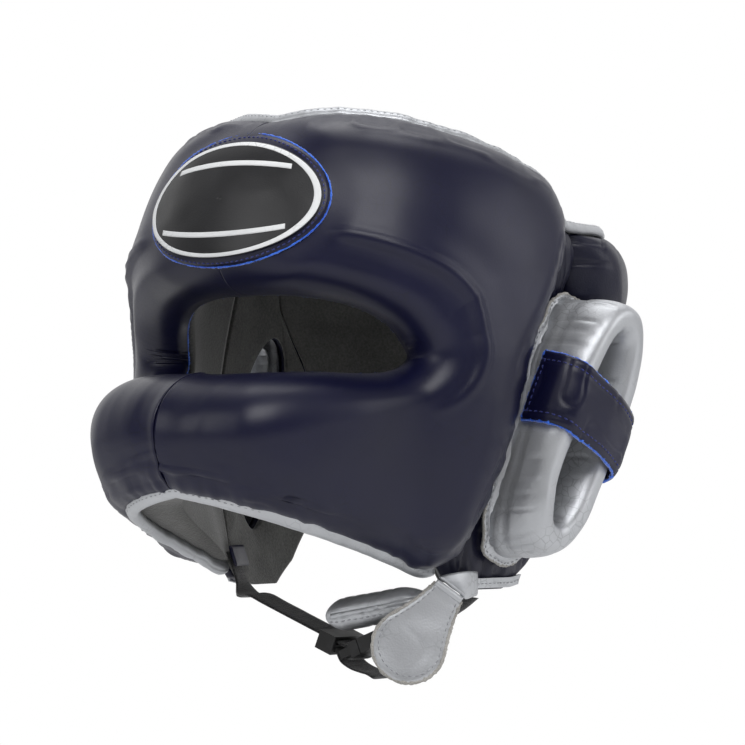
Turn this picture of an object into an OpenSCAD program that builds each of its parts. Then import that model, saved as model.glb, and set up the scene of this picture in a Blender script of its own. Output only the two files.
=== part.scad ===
// Boxing headguard with a padded face bar, millimetres, +Z up, the face looks along -Y.
// The origin is at eye level in the middle of the head cavity.

/* [Head cavity] */
// Half width of the cavity at eye level
head_half_w = 79; // [72:1:86]
// Half length of the cavity at eye level
head_half_l = 100; // [92:1:108]
// Distance of the cavity centre behind the origin
head_back = 6; // [2:1:10]
// How far the cavity leans in at the height of the rim
crown_lean = 26; // [16:1:32]
// How far the cavity leans in at the jaw
jaw_lean = 16; // [8:1:22]

/* [Padding] */
// Thickness of the brow padding
brow_h = 26; // [22:1:32]
// Thickness of the cheek padding
cheek_h = 27; // [24:1:32]
// Thickness of the face bar
bar_h = 37; // [34:1:44]
// Thickness of the rear padding
rear_h = 30; // [25:1:34]
// How far the face bar stands in front of the face
bar_forward = 32; // [26:1:36]
// Radius of the roll round the eye opening
eye_roll = 15; // [11:1:18]
// Radius of the roll at the outer rim of the face pad
rim_roll = 17; // [12:1:20]
// Radius of the roll at both edges of the bar over the chin
bar_roll = 29; // [24:1:32]

/* [Materials] */
// Thickness of the leather covers
leather_t = 1.6; // [1.2:0.1:2.4]
// Thickness of the suede lining
lining_t = 2; // [1.4:0.1:3]
// Clearance between two layers
gap = 0.4; // [0.3:0.05:0.7]

/* [Bindings and badge] */
// Radius of the binding along the rims
binding_r = 2.6; // [2:0.1:3.2]
// Half width of the badge backing along the brow, degrees of turn
badge_turn = 28; // [22:0.5:30]
// Height of the badge backing
badge_tall = 60; // [44:1:63]
// Height of the badge centre above eye level
badge_z = 67.5; // [65:0.5:71]
// Thickness of each badge layer
badge_t = 1.4; // [1:0.1:2]
// Width of the backing that shows round the badge face
badge_border = 3.8; // [3:0.2:7]

/* [Ear pads] */
// Length of the ear pad ring
ear_long = 122; // [114:1:130]
// Width of the ear pad ring
ear_wide = 52; // [48:1:58]
// Width of the padded roll
ear_roll_w = 18; // [15:1:20]
// How far the roll stands out from its seam
ear_deep = 27; // [23:1:31]
// Width of the strap over the ear pad
ear_strap_w = 28; // [22:1:34]
// Thickness of the strap over the ear pad
ear_strap_t = 2.6; // [2:0.1:3.4]

/* [Chin strap] */
// Width of the elastic webbing
web_w = 18; // [16:0.5:19]
// Thickness of the webbing
web_t = 1.6; // [1.2:0.1:2]
// Length of the slider along the strap
slider_l = 9; // [7:0.5:11]
// Travel of the slider along the strap
slider_travel = 16; // [10:1:20]
// Width of the buckle
buckle_w = 25; // [24:0.5:27]
// Thickness of the buckle
buckle_t = 7; // [6.5:0.25:8]

/* [Chin flap and jaw pad] */
// Length of the teardrop flap below its neck
flap_l = 46; // [40:1:54]
// Width of the teardrop flap
flap_w = 32; // [26:1:38]
// Thickness of the flap
flap_t = 2.6; // [2:0.1:3.2]
// Radius of the pin line at the neck of the flap
flap_pin_r = 1.8; // [1.4:0.1:2.2]
// Length of the jaw pad
jaw_pad_l = 52; // [44:1:56]
// Thickness of the jaw pad
jaw_pad_t = 15; // [12:0.5:17]
// Width of the jaw pad
jaw_pad_w = 24; // [20:1:26]

/* [Crown and rear strap] */
// Height of the crown over the middle of the head
crown_z = 107; // [105:0.5:112]
// Half width of the laced slot between the crown panels
slot_half = 11; // [9:0.5:14]
// Number of eyelets on each side of the slot
eyelet_count = 5; // [3:1:6]
// Outer radius of an eyelet
eyelet_r = 3.2; // [2.6:0.1:3.6]
// Diameter of the crown lace
lace_d = 2.4; // [2:0.2:3.2]
// Width of the rear closure strap
rear_strap_w = 46; // [38:1:50]
// Thickness of the rear closure strap
rear_strap_t = 2.8; // [2.2:0.1:3.4]

/* [Hidden] */
$fn = 48;

// Colours as the photograph shows them
navy = [0.07, 0.08, 0.2];
silver = [0.66, 0.67, 0.69];
suede = [0.28, 0.28, 0.27];
foam = [0.8, 0.79, 0.72];
web_black = [0.06, 0.06, 0.06];
plastic = [0.09, 0.09, 0.1];

// Outlines in the pad's own chart: degrees of turn from the front, and height.
// Each point of the eye opening is matched with the point of the outer rim beside it.
eye_edge = [[0, 28.5], [16, 27.5], [31, 23.5], [42, 16], [47.5, 6], [49, -3], [43, -10],
  [30, -11], [16, -11.5], [0, -12]];
outer_edge = [[0, 102], [27, 105], [53, 100.5], [80.5, 87], [90.5, 67], [79, 3], [69, -57],
  [57, -92], [22, -65.5], [0, -56]];
// The lower rim starts at this point of the lists, the jaw corner
jaw_corner = 7;
edge_n = len(eye_edge) - 1;
// Height of the rim behind the face pad
rear_rim_z = 58;
// Height of the rear pad's lower edge
rear_low_z = -58;
// Height of the cover's foot on the lining, at the rims and along the lower rim
foot = lining_t + gap;
// The same at each point of outer_edge, from the crown to the bottom of the bar
foot_line = [10, 10.5, 13.5, 16.5, 18, 9.5, 11.5, 5.5, 27, 30.5];
rear_foot = 19;

face_steps = 26;
face_rings = 9;

// Small helpers
function mix(a, b, f) = a * (1 - f) + b * f;
function ramp(x, a, b) = let (f = max(0, min(1, (x - a) / (b - a)))) f * f * (3 - 2 * f);
function roll(x, r) = x >= r ? 1 : sqrt(max(0, 1 - pow(1 - max(0, x) / r, 2)));
// A point on a smooth curve through the points p, s runs from 0 to 1
function curve(p, s) =
  let (n = len(p) - 1, i = max(0, min(floor(s * n), n - 1)), f = s * n - i,
    a = p[max(i - 1, 0)], b = p[i], c = p[i + 1], d = p[min(i + 2, n)])
  0.5 * (2 * b + (c - a) * f + (2 * a - 5 * b + 4 * c - d) * f * f
    + (3 * b - a - 3 * c + d) * f * f * f);

// The cavity's own shape
function lean(z) = crown_lean * pow(max(0, (z - 38) / 66), 2)
  + jaw_lean * pow(max(0, (-20 - z) / 76), 1.5);
function barness(t, z) = ramp(-abs(t), -50, -18.5) * ramp(-z, -24, 10);
// The point at turn t and height z that lies the distance out from the cavity
function pad(t, z, out) =
  let (a = head_half_w - lean(z) + out, b = head_half_l - lean(z) + out)
  [a * sin(t), head_back - b * cos(t) - bar_forward * barness(t, z), z];
function pad_h(t, z) =
  mix(mix(cheek_h, brow_h, ramp(z, 10, 45)), bar_h, barness(t, z));

// The face pad: s runs round the eye opening on one side, v from the opening to the rim
function chart(s, v) = mix(curve(eye_edge, s), curve(outer_edge, s), v);
function chart_mm(p) = [p[0] * (head_half_w + cheek_h / 2) * PI / 180, p[1]];
function span(s) = norm(chart_mm(curve(outer_edge, s)) - chart_mm(curve(eye_edge, s)));
function foot_at(s) = curve(foot_line, s);
// The radius of an edge roll, which grows over the bar
function edge_roll(r, c) = mix(r, bar_roll, barness(c[0], c[1]));
// A surface of the face pad that lies the depth d inside the cover's outside
function face(s, v, d) =
  let (w = span(s) - 2 * d, p = v * w, q = (1 - v) * w, c = chart(s, (d + p) / span(s)),
    h = pad_h(c[0], c[1]) - d,
    out = h - (h - foot) * (1 - roll(p, edge_roll(eye_roll, c) - d))
      - (h - foot_at(s)) * (1 - roll(q, edge_roll(rim_roll, c) - d)))
  pad(c[0], c[1], out);
// Steps that crowd at both ends
function crowd(j, n) = (1 - cos(180 * j / n)) / 2;

// Room between a foam block and its cover
foam_room = 1.5;

// A closed skin between two grids of points, open or wrapped round in its first direction
module skin(top, under, wrap = false) {
  m = len(top);
  n = len(top[0]);
  pts = [for (k = [0 : m - 1]) each concat(top[k], under[k])];
  k_last = wrap ? m - 1 : m - 2;
  function at(k, j) = (k % m) * 2 * n + j;
  walls = [for (k = [0 : k_last]) each concat(
    [for (j = [0 : n - 2]) each quad(at(k, j), at(k, j + 1), at(k + 1, j + 1), at(k + 1, j))],
    [for (j = [0 : n - 2]) each quad(at(k, n + j), at(k + 1, n + j), at(k + 1, n + j + 1),
      at(k, n + j + 1))],
    quad(at(k, n), at(k, 0), at(k + 1, 0), at(k + 1, n)),
    quad(at(k, n - 1), at(k, 2 * n - 1), at(k + 1, 2 * n - 1), at(k + 1, n - 1)))];
  ends = wrap ? [] : [for (j = [0 : n - 2]) each concat(
    quad(at(0, n + j), at(0, n + j + 1), at(0, j + 1), at(0, j)),
    quad(at(m - 1, j), at(m - 1, j + 1), at(m - 1, n + j + 1), at(m - 1, n + j)))];
  polyhedron(pts, concat(walls, ends), convexity = 8);
}
function quad(a, b, c, d) = [[a, b, c], [a, c, d]];

// A closed tube through rings of points
module tube(rings, wrap = false) {
  m = len(rings);
  n = len(rings[0]);
  pts = [for (r = rings) each r];
  k_last = wrap ? m - 1 : m - 2;
  function at(k, j) = (k % m) * n + (j % n);
  sides = [for (k = [0 : k_last]) for (j = [0 : n - 1])
    each quad(at(k, j), at(k, j + 1), at(k + 1, j + 1), at(k + 1, j))];
  ends = wrap ? [] : concat(
    [for (j = [1 : n - 2]) [at(0, 0), at(0, j + 1), at(0, j)]],
    [for (j = [1 : n - 2]) [at(m - 1, 0), at(m - 1, j), at(m - 1, j + 1)]]);
  polyhedron(pts, concat(sides, ends), convexity = 8);
}
function unit(v) = v / norm(v);

// A round tube along a path of points
module pipe(path, r, sides = 8, wrap = false) {
  m = len(path);
  function way(k) = wrap ? unit(path[(k + 1) % m] - path[(k + m - 1) % m])
    : unit(path[min(k + 1, m - 1)] - path[max(k - 1, 0)]);
  tube([for (k = [0 : m - 1]) let (w = way(k), up = abs(w[2]) > 0.9 ? [0, 1, 0] : [0, 0, 1],
    a = unit(cross(w, up)), b = cross(w, a))
    [for (j = [0 : sides - 1]) path[k] + r * (a * cos(360 * j / sides)
      + b * sin(360 * j / sides))]], wrap);
}

// The half that lies at the wearer's left is built, and the right one is its mirror
module at_side(side) {
  if (side > 0) children();
  else mirror([1, 0, 0]) children();
}

// Face pad
module face_cover(side) {
  s_all = [for (k = [0 : face_steps]) k / face_steps];
  color(navy) at_side(side) translate([gap / 4, 0, 0]) skin(
    [for (s = s_all) [for (j = [0 : face_rings]) face(s, crowd(j, face_rings), 0)]],
    [for (s = s_all) [for (j = [0 : face_rings]) face(s, crowd(j, face_rings), leather_t)]]);
}
module face_lining() {
  // Rises behind the face pad and folds out under the bar to meet the lower binding
  function half(s, sgn) =
    let (w = span(s), fold = lining_t / w, top = foot_at(s) - gap,
      vs = [0, 0.33, 0.67, 1 - fold], e = [for (v = vs) chart(s, v)], o = chart(s, 1))
    [concat([for (c = e) mir(pad(c[0], c[1], lining_t), sgn)],
        [mir(pad(e[3][0], e[3][1], max(lining_t + 0.5, top)), sgn)]),
      concat([for (c = e) mir(pad(c[0], c[1], 0), sgn)],
        [mir(pad(o[0], o[1], 0), sgn)])];
  rows = concat([for (k = [0 : face_steps]) half(k / face_steps, 1)],
    [for (k = [face_steps - 1 : -1 : 1]) half(k / face_steps, -1)]);
  color(suede) lining_ring(rows);
}
function mir(p, sgn) = [sgn * p[0], p[1], p[2]];
module lining_ring(rows) {
  skin([for (r = rows) r[0]], [for (r = rows) r[1]], true);
}
// One foam block of the face pad, between two steps of s
module face_foam_block(s0, s1, steps, sgns, low = foot + gap) {
  d = max(leather_t, lining_t) + foam_room;
  function row(s, sgn) =
    let (w = span(s))
    [[for (j = [0 : 6]) mir(face_inset(s, crowd(j, 6), d, low + 1), sgn)],
      [for (j = [0 : 6]) let (c = chart(s, (d + crowd(j, 6) * (w - 2 * d)) / w))
        mir(pad(c[0], c[1], low), sgn)]];
  rows = [for (sg = sgns) for (k = [0 : steps])
    if (!(len(sgns) == 2 && sg == sgns[1] && k == 0))
      row(sg == sgns[0] && len(sgns) == 2 ? mix(s1, s0, k / steps) : mix(s0, s1, k / steps), sg)];
  skin([for (r = rows) r[0]], [for (r = rows) r[1]]);
}
// As face(), but the foot lies at the height low so that the block keeps a real edge
function face_inset(s, v, d, low) =
  let (w = span(s) - 2 * d, p = v * w, q = (1 - v) * w, c = chart(s, (d + p) / span(s)),
    h = pad_h(c[0], c[1]) - d, end = max(low, foot_at(s) - 2),
    out = h - (h - low) * (1 - roll(p, edge_roll(eye_roll, c) - d))
      - (h - end) * (1 - roll(q, edge_roll(rim_roll, c) - d)))
  pad(c[0], c[1], out);
// Steps of s at which the foam blocks meet
brow_end = 3.2 / edge_n;
bar_start = 6.9 / edge_n;
block_gap = 0.06 / edge_n;
core_t = 2.4;
module brow_foam() {
  color(foam) face_foam_block(0, brow_end, 8, [-1, 1]);
}
module cheek_foam(side) {
  color(foam) at_side(side)
    face_foam_block(brow_end + block_gap, bar_start - block_gap, 11, [1]);
}
module bar_foam() {
  color(foam) face_foam_block(1, bar_start, 6, [-1, 1], foot + core_t + 3 * gap + 1);
}
// A stiff strip between the bar's foam and its lining
module bar_core() {
  s_all = [for (sg = [-1, 1]) for (k = [0 : 6]) if (!(sg == 1 && k == 0))
    [sg, sg < 0 ? mix(bar_start + 0.04, 1, k / 6) : mix(1, bar_start + 0.04, k / 6)]];
  function row(q, out) = [for (v = [0.25, 0.5, 0.75])
    let (c = chart(q[1], v)) mir(pad(c[0], c[1], out), q[0])];
  color(plastic) skin([for (q = s_all) row(q, foot + 2 * gap + core_t)],
    [for (q = s_all) row(q, foot + 2 * gap)]);
}

// Bindings: rolled silver strips along the rims
lower_start = (jaw_corner - 0.1) / edge_n;
function lower_path(side) = [for (k = [0 : 14])
  let (s = mix(lower_start, 1, k / 14), c = curve(outer_edge, s))
  mir(pad(c[0], c[1] - binding_r - gap, foot_at(s) - binding_r / 2), side)];
module lower_binding() {
  left = lower_path(1);
  right = lower_path(-1);
  color(silver) pipe(concat([for (k = [0 : 13]) right[k]], [for (k = [14 : -1 : 0]) left[k]]),
    binding_r, 7);
}
// The rim behind the face pad: turn, height, and how far out its seam lies
rear_rim = [[90.5, 67, 18], [96, rear_rim_z + 3, 15], [101.5, rear_rim_z, 14],
  [120, rear_rim_z, rear_foot], [150, rear_rim_z, rear_foot], [180, rear_rim_z, rear_foot]];
corner = 4;
rim_steps = 28;
rim_split = 0.5;
// The whole rim from the brow's middle to the middle of the rear
function rim_at(u) = u < rim_split
  ? let (s = u / rim_split * corner / edge_n, c = curve(outer_edge, s)) [c[0], c[1], foot_at(s)]
  : curve(rear_rim, (u - rim_split) / (1 - rim_split));
// The same, moved up square to the rim
function rim_over(u, up) =
  let (c = rim_at(u), d = chart_mm(rim_at(min(1, u + 0.01))) - chart_mm(rim_at(max(0, u - 0.01))),
    n = up / norm(d))
  [c[0] - n * d[1] / chart_mm([1, 0])[0], c[1] + n * d[0], c[2]];
function rim_path(side) = [for (k = [0 : rim_steps])
  let (c = rim_over(k / rim_steps, binding_r + gap)) mir(pad(c[0], c[1], c[2]), side)];
module crown_binding() {
  left = rim_path(1);
  right = rim_path(-1);
  color(silver) pipe(concat(left, [for (k = [rim_steps - 1 : -1 : 1]) right[k]]),
    binding_r, 7, true);
}

// Badge: two plain ovals bent round the brow
function brow_out(t, z) =
  let (p = z - eye_edge[0][1], q = outer_edge[0][1] + 1 - z)
  brow_h - (brow_h - foot) * (1 - roll(p, eye_roll))
    - (brow_h - foot_line[0]) * (1 - roll(q, rim_roll));
module oval_plate(shrink, lift, thick) {
  n = 18;
  m = 4;
  tall = badge_tall / 2 - shrink;
  turn = badge_turn - shrink / 2;
  function at(k, j, out) =
    let (x = 0.998 * cos(180 * k / n), t = turn * x,
      z = badge_z + tall * sqrt(1 - x * x) * (1 - 2 * j / m))
    pad(t, z, brow_out(t, z) + lift + out);
  skin([for (k = [0 : n]) [for (j = [0 : m]) at(k, m - j, thick)]],
    [for (k = [0 : n]) [for (j = [0 : m]) at(k, m - j, 0)]]);
}
module badge_backing() {
  color(navy) oval_plate(0, 3 * gap, badge_t);
}
module badge_face() {
  color(plastic) oval_plate(badge_border, 4.4 * gap + badge_t, badge_t);
}

// Rear pad, from its front edge on the left to the one on the right. The list holds the turn of
// that edge from the rim down.
rear_edge = [[102], [105], [114], [119], [118]];
function rear_turn_at(v) = curve(rear_edge, v)[0];
rear_steps = 26;
rear_rings = 8;
function rear_span(v) = (180 - rear_turn_at(v)) * 2 * head_half_l * PI / 180;
function rear(u, v, d) =
  let (tall = rear_rim_z - rear_low_z, q = v * (tall - 2 * d),
    vv = (d + q) / tall, e = rear_turn_at(vv), w = rear_span(vv), p = u * (w - 2 * d),
    t = e + (360 - 2 * e) * (d + p) / w, h = rear_h - d,
    near = roll(min(p, w - 2 * d - p), rim_roll - d),
    low = roll(tall - 2 * d - q, rim_roll - d), top = roll(q, rim_roll - d),
    out = foot + near * low * (rear_foot - foot + (h - rear_foot) * top))
  pad(t, rear_rim_z - vv * tall, out);
function rear_flat(u, v, d, out) =
  let (tall = rear_rim_z - rear_low_z, vv = (d + v * (tall - 2 * d)) / tall,
    e = rear_turn_at(vv), w = rear_span(vv),
    t = e + (360 - 2 * e) * (d + u * (w - 2 * d)) / w)
  pad(t, rear_rim_z - vv * tall, out);
function rear_grid(d) = [for (k = [0 : rear_steps]) [for (j = [0 : rear_rings])
  rear(crowd(k, rear_steps), crowd(j, rear_rings), d)]];
function rear_sheet(d, out) = [for (k = [0 : rear_steps]) [for (j = [0 : rear_rings])
  rear_flat(crowd(k, rear_steps), crowd(j, rear_rings), d, out)]];
module rear_cover() {
  color(navy) skin(rear_grid(0), rear_grid(leather_t));
}
module rear_foam() {
  d = leather_t + foam_room + 2 * gap;
  color(foam) skin(
    [for (k = [0 : 20]) [for (j = [0 : 6]) rear(mix(0.04, 0.96, k / 20), mix(0.07, 0.93, j / 6), d)]],
    [for (k = [0 : 20]) [for (j = [0 : 6])
      rear_flat(mix(0.04, 0.96, k / 20), mix(0.07, 0.93, j / 6), d, foot + gap)]]);
}
// The rear lining folds out over the top of the foam
module rear_lining() {
  function fold(k, low) = let (p = rear(crowd(k, rear_steps), 0, 0),
      f = rear_flat(crowd(k, rear_steps), 0, 0, 0), g = norm([p[0] - f[0], p[1] - f[1]]))
    [mix(f[0], p[0], max(0.1, 1 - 7 * gap / g)), mix(f[1], p[1], max(0.1, 1 - 7 * gap / g)),
      f[2] - low];
  top = rear_sheet(0, lining_t);
  under = rear_sheet(0, 0);
  color(suede) skin([for (k = [0 : rear_steps]) concat([fold(k, lining_t)],
      [top[k][0] - [0, 0, lining_t]], [for (j = [1 : rear_rings]) top[k][j]])],
    [for (k = [0 : rear_steps]) concat([fold(k, 0)], under[k])]);
}

// Side gusset: thin padded leather round the ear hole
ear_y = 13;
ear_z = -32;
ear_tilt = 20;
gusset_t = 3.6;
gusset_swell = 8;
hole_half_w = 15;
hole_half_l = 49;
side_steps = 44;
// Room left at the seams between two pads, degrees of turn
seam_turn = 1.2;
// The ear pad's own directions on the side: across and along, in the Y and Z plane
function ear_yz(x, y) = [ear_y + x * cos(ear_tilt) + y * sin(ear_tilt),
  ear_z - x * sin(ear_tilt) + y * cos(ear_tilt)];
// The turn and height of a point of the side surface that has this Y and Z
function turn_of(yz) = let (b = head_half_l - lean(yz[1]))
  [90 + asin((yz[0] - head_back) / b), yz[1]];
side_edge = concat(
  [for (k = [0 : 6]) curve(outer_edge, mix(4.05, jaw_corner - 0.05, k / 6) / edge_n)
    + [seam_turn, 0]],
  [[64, -100], [76, -104], [90, -104], [101, -93], [112, -74]],
  [for (k = [8 : -1 : 0]) let (v = mix(0.01, 0.99, k / 8))
    [rear_turn_at(v) - seam_turn, mix(rear_rim_z, rear_low_z, v)]],
  [[96, rear_rim_z + 3]]);
function side_ring(k, v) =
  let (n = len(side_edge), f = k * n / side_steps, i = floor(f),
    outer = mix(side_edge[i % n], side_edge[(i + 1) % n], f - i),
    a = atan2(outer[1] - ear_z, (outer[0] - 88) * 1.6),
    inner = turn_of(ear_yz(hole_half_w * cos(a), hole_half_l * sin(a))))
  mix(inner, outer, v);
// The gusset is thicker near the rim
function gusset_out(z) = foot + gusset_t + gusset_swell * ramp(z, 24, 56);
module side_layer(low, high) {
  vs = [0, 0.33, 0.67, 1];
  skin([for (k = [0 : side_steps - 1]) [for (v = vs) let (c = side_ring(k, v))
      pad(c[0], c[1], high > foot ? gusset_out(c[1]) : high)]],
    [for (k = [0 : side_steps - 1]) [for (v = vs) let (c = side_ring(k, v))
      pad(c[0], c[1], low)]], true);
}
module side_gusset(side) {
  color(navy) at_side(side) side_layer(foot, foot + gusset_t);
}
module side_lining(side) {
  color(suede) at_side(side) side_layer(0, lining_t);
}

// Ear pad: a long ring roll sewn round the ear hole
ear_steps = 38;
ear_out = foot + gusset_t;
// The crest leans out towards the top and the rear
ear_flare = 0.19;
ear_turn = 0.04;
function side_x(yz, out) = let (a = head_half_w - lean(yz[1]) + out,
    b = head_half_l - lean(yz[1]) + out)
  a * sqrt(max(0, 1 - pow((yz[0] - head_back) / b, 2)));
function ear_crest(x, y) = head_half_w + ear_out + ear_deep + ear_flare * y + ear_turn * x;
function power(x, e) = sign(x) * pow(abs(x), e);
// A point of the roll: a runs round the ring, b across the roll from its inner to its outer foot
function ear_point(a, b, inset) =
  let (rw = (ear_wide - ear_roll_w) / 2, rl = (ear_long - ear_roll_w) / 2,
    half = ear_roll_w / 2 - inset, side_way = power(cos(180 - b), 0.75) * half,
    x = (rw + side_way) * power(cos(a), 0.8), y = (rl + side_way) * power(sin(a), 0.9),
    yz = ear_yz(x, y), rise = pow(sin(b), 0.55),
    base = side_x(yz, gusset_out(yz[1]) + 4 * gap + 8 * ramp(yz[0], 32, 45)))
  [mix(base, ear_crest(x, y) - inset, rise), yz[0], yz[1]];
module ear_pad_cover(side) {
  function grid(inset) = [for (k = [0 : ear_steps - 1]) [for (j = [0 : 8])
    ear_point(-360 * k / ear_steps, 180 * j / 8, inset)]];
  color(silver) at_side(side) skin(grid(0), grid(leather_t), true);
}
module ear_pad_foam(side) {
  d = leather_t + gap;
  color(foam) at_side(side) tube([for (k = [0 : ear_steps - 1])
    [for (j = [8 : -1 : 0]) ear_point(-360 * k / ear_steps, 15 + 150 * j / 8, d)]], true);
}
// Band over the ear pad: distance across the pad, and height over its crest
strap_line = [[-26.2, -20], [-26, -8], [-22, -0.8], [-15, 1.4], [0, 3], [15, 1.4],
  [22, -0.8], [26, -8], [26.2, -19]];
// The band is wider in front, and slants down towards the rear
strap_front = 1.16;
strap_rear = 0.86;
strap_slant = 8;
strap_lift = 2.8;
module ear_strap(side) {
  grow = ear_wide / 2 - 26;
  function at(k, y, lift) =
    let (c = curve(strap_line, k / 16), c2 = curve(strap_line, min(1, k / 16 + 0.01)),
      c1 = curve(strap_line, max(0, k / 16 - 0.01)), w = unit(c2 - c1),
      x = c[0] + sign(c[0]) * grow * min(1, abs(c[0]) / 20) - w[1] * lift,
      yz = ear_yz(x, y))
    [ear_crest(x, y) + c[1] + w[0] * lift, yz[0], yz[1]];
  function grid(lift) = [for (k = [0 : 16]) [for (j = [0, 1])
    at(k, ear_strap_w * mix(strap_front, strap_rear, k / 16) * (0.5 - j)
      + strap_lift + strap_slant * (1 - k / 8), lift + gap)]];
  color(navy) at_side(side) skin(grid(ear_strap_t), grid(0));
}

// Crown: two silver panels from the rim to a laced slot
crown_t = 1.6;
slot_front = -42;
slot_rear = 52;
crown_rings = 8;
crown_flat = 0.25;
crown_fall = 0.0055;
function crown_top(y) = crown_z - crown_fall * pow(y + 6, 2);
// A point of the left panel: u runs from the front to the rear, v from the rim's seam over
// the top of the pads and up to the slot
function crown(u, v, lift) =
  let (c = rim_over(u, 2 * gap), b = rim_over(u, binding_r + gap), flat = min(1, v / crown_flat),
    rise = max(0, (v - crown_flat) / (1 - crown_flat)),
    in = pad(b[0], b[1], mix(c[2] - binding_r - 2 * gap, -gap, flat)), low = [in[0], in[1], c[1]],
    y = mix(slot_front, slot_rear, ramp(u, 0.1, 0.95)), end = [slot_half, y, crown_top(y)],
    w = mix(rise, 1 - cos(90 * rise), 0.5), f = mix(low, end, w))
  [max(slot_half, f[0]), f[1], low[2] + (end[2] - low[2]) * sin(90 * rise) + lift];
module crown_panel(side) {
  function grid(lift) = [for (k = [1 : rim_steps - 1]) [for (j = [0 : crown_rings])
    crown(k / rim_steps, j / crown_rings, lift)]];
  color(silver) at_side(side) skin(grid(crown_t), grid(0));
}
// Padded tongue under the slot
tongue_t = 4;
tongue_low = 0.1;
tongue_drop = 2;
tongue_half = slot_half + 9;
module crown_tongue() {
  function row(k, out) = [for (x = [-1, -0.5, 0, 0.5, 1])
    let (y = mix(slot_front + 6, slot_rear - 6, k / 8))
    [x * tongue_half, y, crown_top(y) - out - tongue_drop * x * x]];
  color(suede) skin([for (k = [0 : 8]) row(k, tongue_low)],
    [for (k = [0 : 8]) row(k, tongue_low + tongue_t)]);
}
eyelet_pitch = (slot_rear - slot_front - 34) / (eyelet_count - 1);
eyelet_x = slot_half + eyelet_r + 2.5;
function eyelet_y(k) = slot_front + 17 + k * eyelet_pitch;
eyelet_h = 1.2;
module crown_eyelets() {
  color(plastic) for (side = [-1, 1]) for (k = [0 : eyelet_count - 1])
    translate([side * eyelet_x, eyelet_y(k), crown_top(eyelet_y(k)) + crown_t + gap])
    rotate([-2 * crown_fall * (eyelet_y(k) + 6) * 180 / PI, 0, 0]) difference() {
      cylinder(h = eyelet_h, r = eyelet_r);
      translate([0, 0, -1]) cylinder(h = eyelet_h + 2, r = eyelet_r - 1.2);
    }
}
// Flat zigzag of lace across the slot, one pass a row
lace_lift = crown_t + eyelet_h + 2 * gap + lace_d / 2;
module crown_lace() {
  color(web_black) pipe([for (k = [0 : 2 * eyelet_count - 1])
    let (i = floor(k / 2), side = (k % 4 == 0 || k % 4 == 3) ? -1 : 1)
    [side * eyelet_x, eyelet_y(i) + (k % 2) * 0.3, crown_top(eyelet_y(i)) + lace_lift]],
    lace_d / 2, 6);
}

// Rear closure strap, hinged at its sewn end
strap_turn = 152;
strap_end = 212;
strap_z = 8;
tab_turn = 7;
patch_t = 1.2;
patch_low = rear_h + gap;
strap_low = patch_low + 2 * patch_t + 2 * gap;
module rear_sheet_piece(t0, t1, wide, low, thick, steps) {
  function grid(out) = [for (k = [0 : steps]) [for (j = [0, 1])
    pad(mix(t0, t1, k / steps), strap_z + wide * (0.5 - j), out)]];
  skin(grid(low + thick), grid(low));
}
module rear_strap() {
  color(navy) rear_sheet_piece(strap_turn + 0.6, strap_end, rear_strap_w, strap_low,
    rear_strap_t, 14);
}
module rear_hook_patch() {
  color(web_black) rear_sheet_piece(strap_turn + 20, strap_end - 3, rear_strap_w - 8,
    strap_low - patch_t - gap / 2, patch_t, 10);
}
module rear_loop_patch() {
  color(web_black) rear_sheet_piece(strap_turn + 14, strap_end, rear_strap_w - 6,
    patch_low, patch_t, 10);
}
module rear_hinge_tab() {
  color(navy) rear_sheet_piece(strap_turn - tab_turn, strap_turn, rear_strap_w, patch_low,
    strap_low - patch_low + rear_strap_t, 3);
}

// A flat band along a path, with a direction across it and a half width at each point
module ribbon(path, ways, halfs, thick) {
  m = len(path);
  function way(k) = unit(path[min(k + 1, m - 1)] - path[max(k - 1, 0)]);
  function up(k) = unit(cross(way(k), ways[k]));
  function row(k, lift) = [for (j = [-1, 1]) path[k] + ways[k] * halfs[k] * j + up(k) * lift];
  skin([for (k = [0 : m - 1]) row(k, thick / 2)], [for (k = [0 : m - 1]) row(k, -thick / 2)]);
}

// Chin strap. Its straight stretch runs down to the bar of the buckle plug.
web_y = -49;
bar_at = [25, web_y, -132];
web_slope = 22;
buckle_slope = -22;
plug_bar_r = 1.2;
layer_z = plug_bar_r + gap + web_t / 2;
straight_l = 34 + slider_travel;
slider_at = -11;
slider_wall = 1.4;
tail_z = layer_z - web_t - 1.8;
module strap_frame() {
  translate(bar_at) rotate([0, web_slope, 0]) children();
}
module buckle_frame() {
  translate(bar_at) rotate([0, buckle_slope, 0]) children();
}
function strap_pt(x, z) = bar_at + [x * cos(web_slope) + z * sin(web_slope), 0,
  -x * sin(web_slope) + z * cos(web_slope)];
// The webbing starts inside the right jaw corner
anchor_turn = -62;
web_in = -gap - web_t / 2;
web_route = concat([pad(anchor_turn, -88, web_in), pad(anchor_turn, -100.5, web_in - 0.3),
  [-47, -36, -106.5], [-39, -43, -108], strap_pt(-straight_l - 10, layer_z),
  strap_pt(-straight_l, layer_z), strap_pt(-25, layer_z)],
  [for (a = [90 : -30 : -90]) strap_pt(layer_z * cos(a), layer_z * sin(a))]);
module chin_webbing() {
  // How the webbing lies across at each point of its route, straight once it has left the jaw
  turned = [unit([-0.36, 0.93, 0]), unit([-0.36, 0.93, 0]), unit([-0.1, 0.99, 0]),
    unit([0.1, 0.99, 0])];
  n = len(web_route);
  color(web_black) ribbon(web_route,
    [for (k = [0 : n - 1]) k < len(turned) ? turned[k] : [0, 1, 0]],
    [for (k = [0 : n - 1]) web_w / 2], web_t);
}
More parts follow.
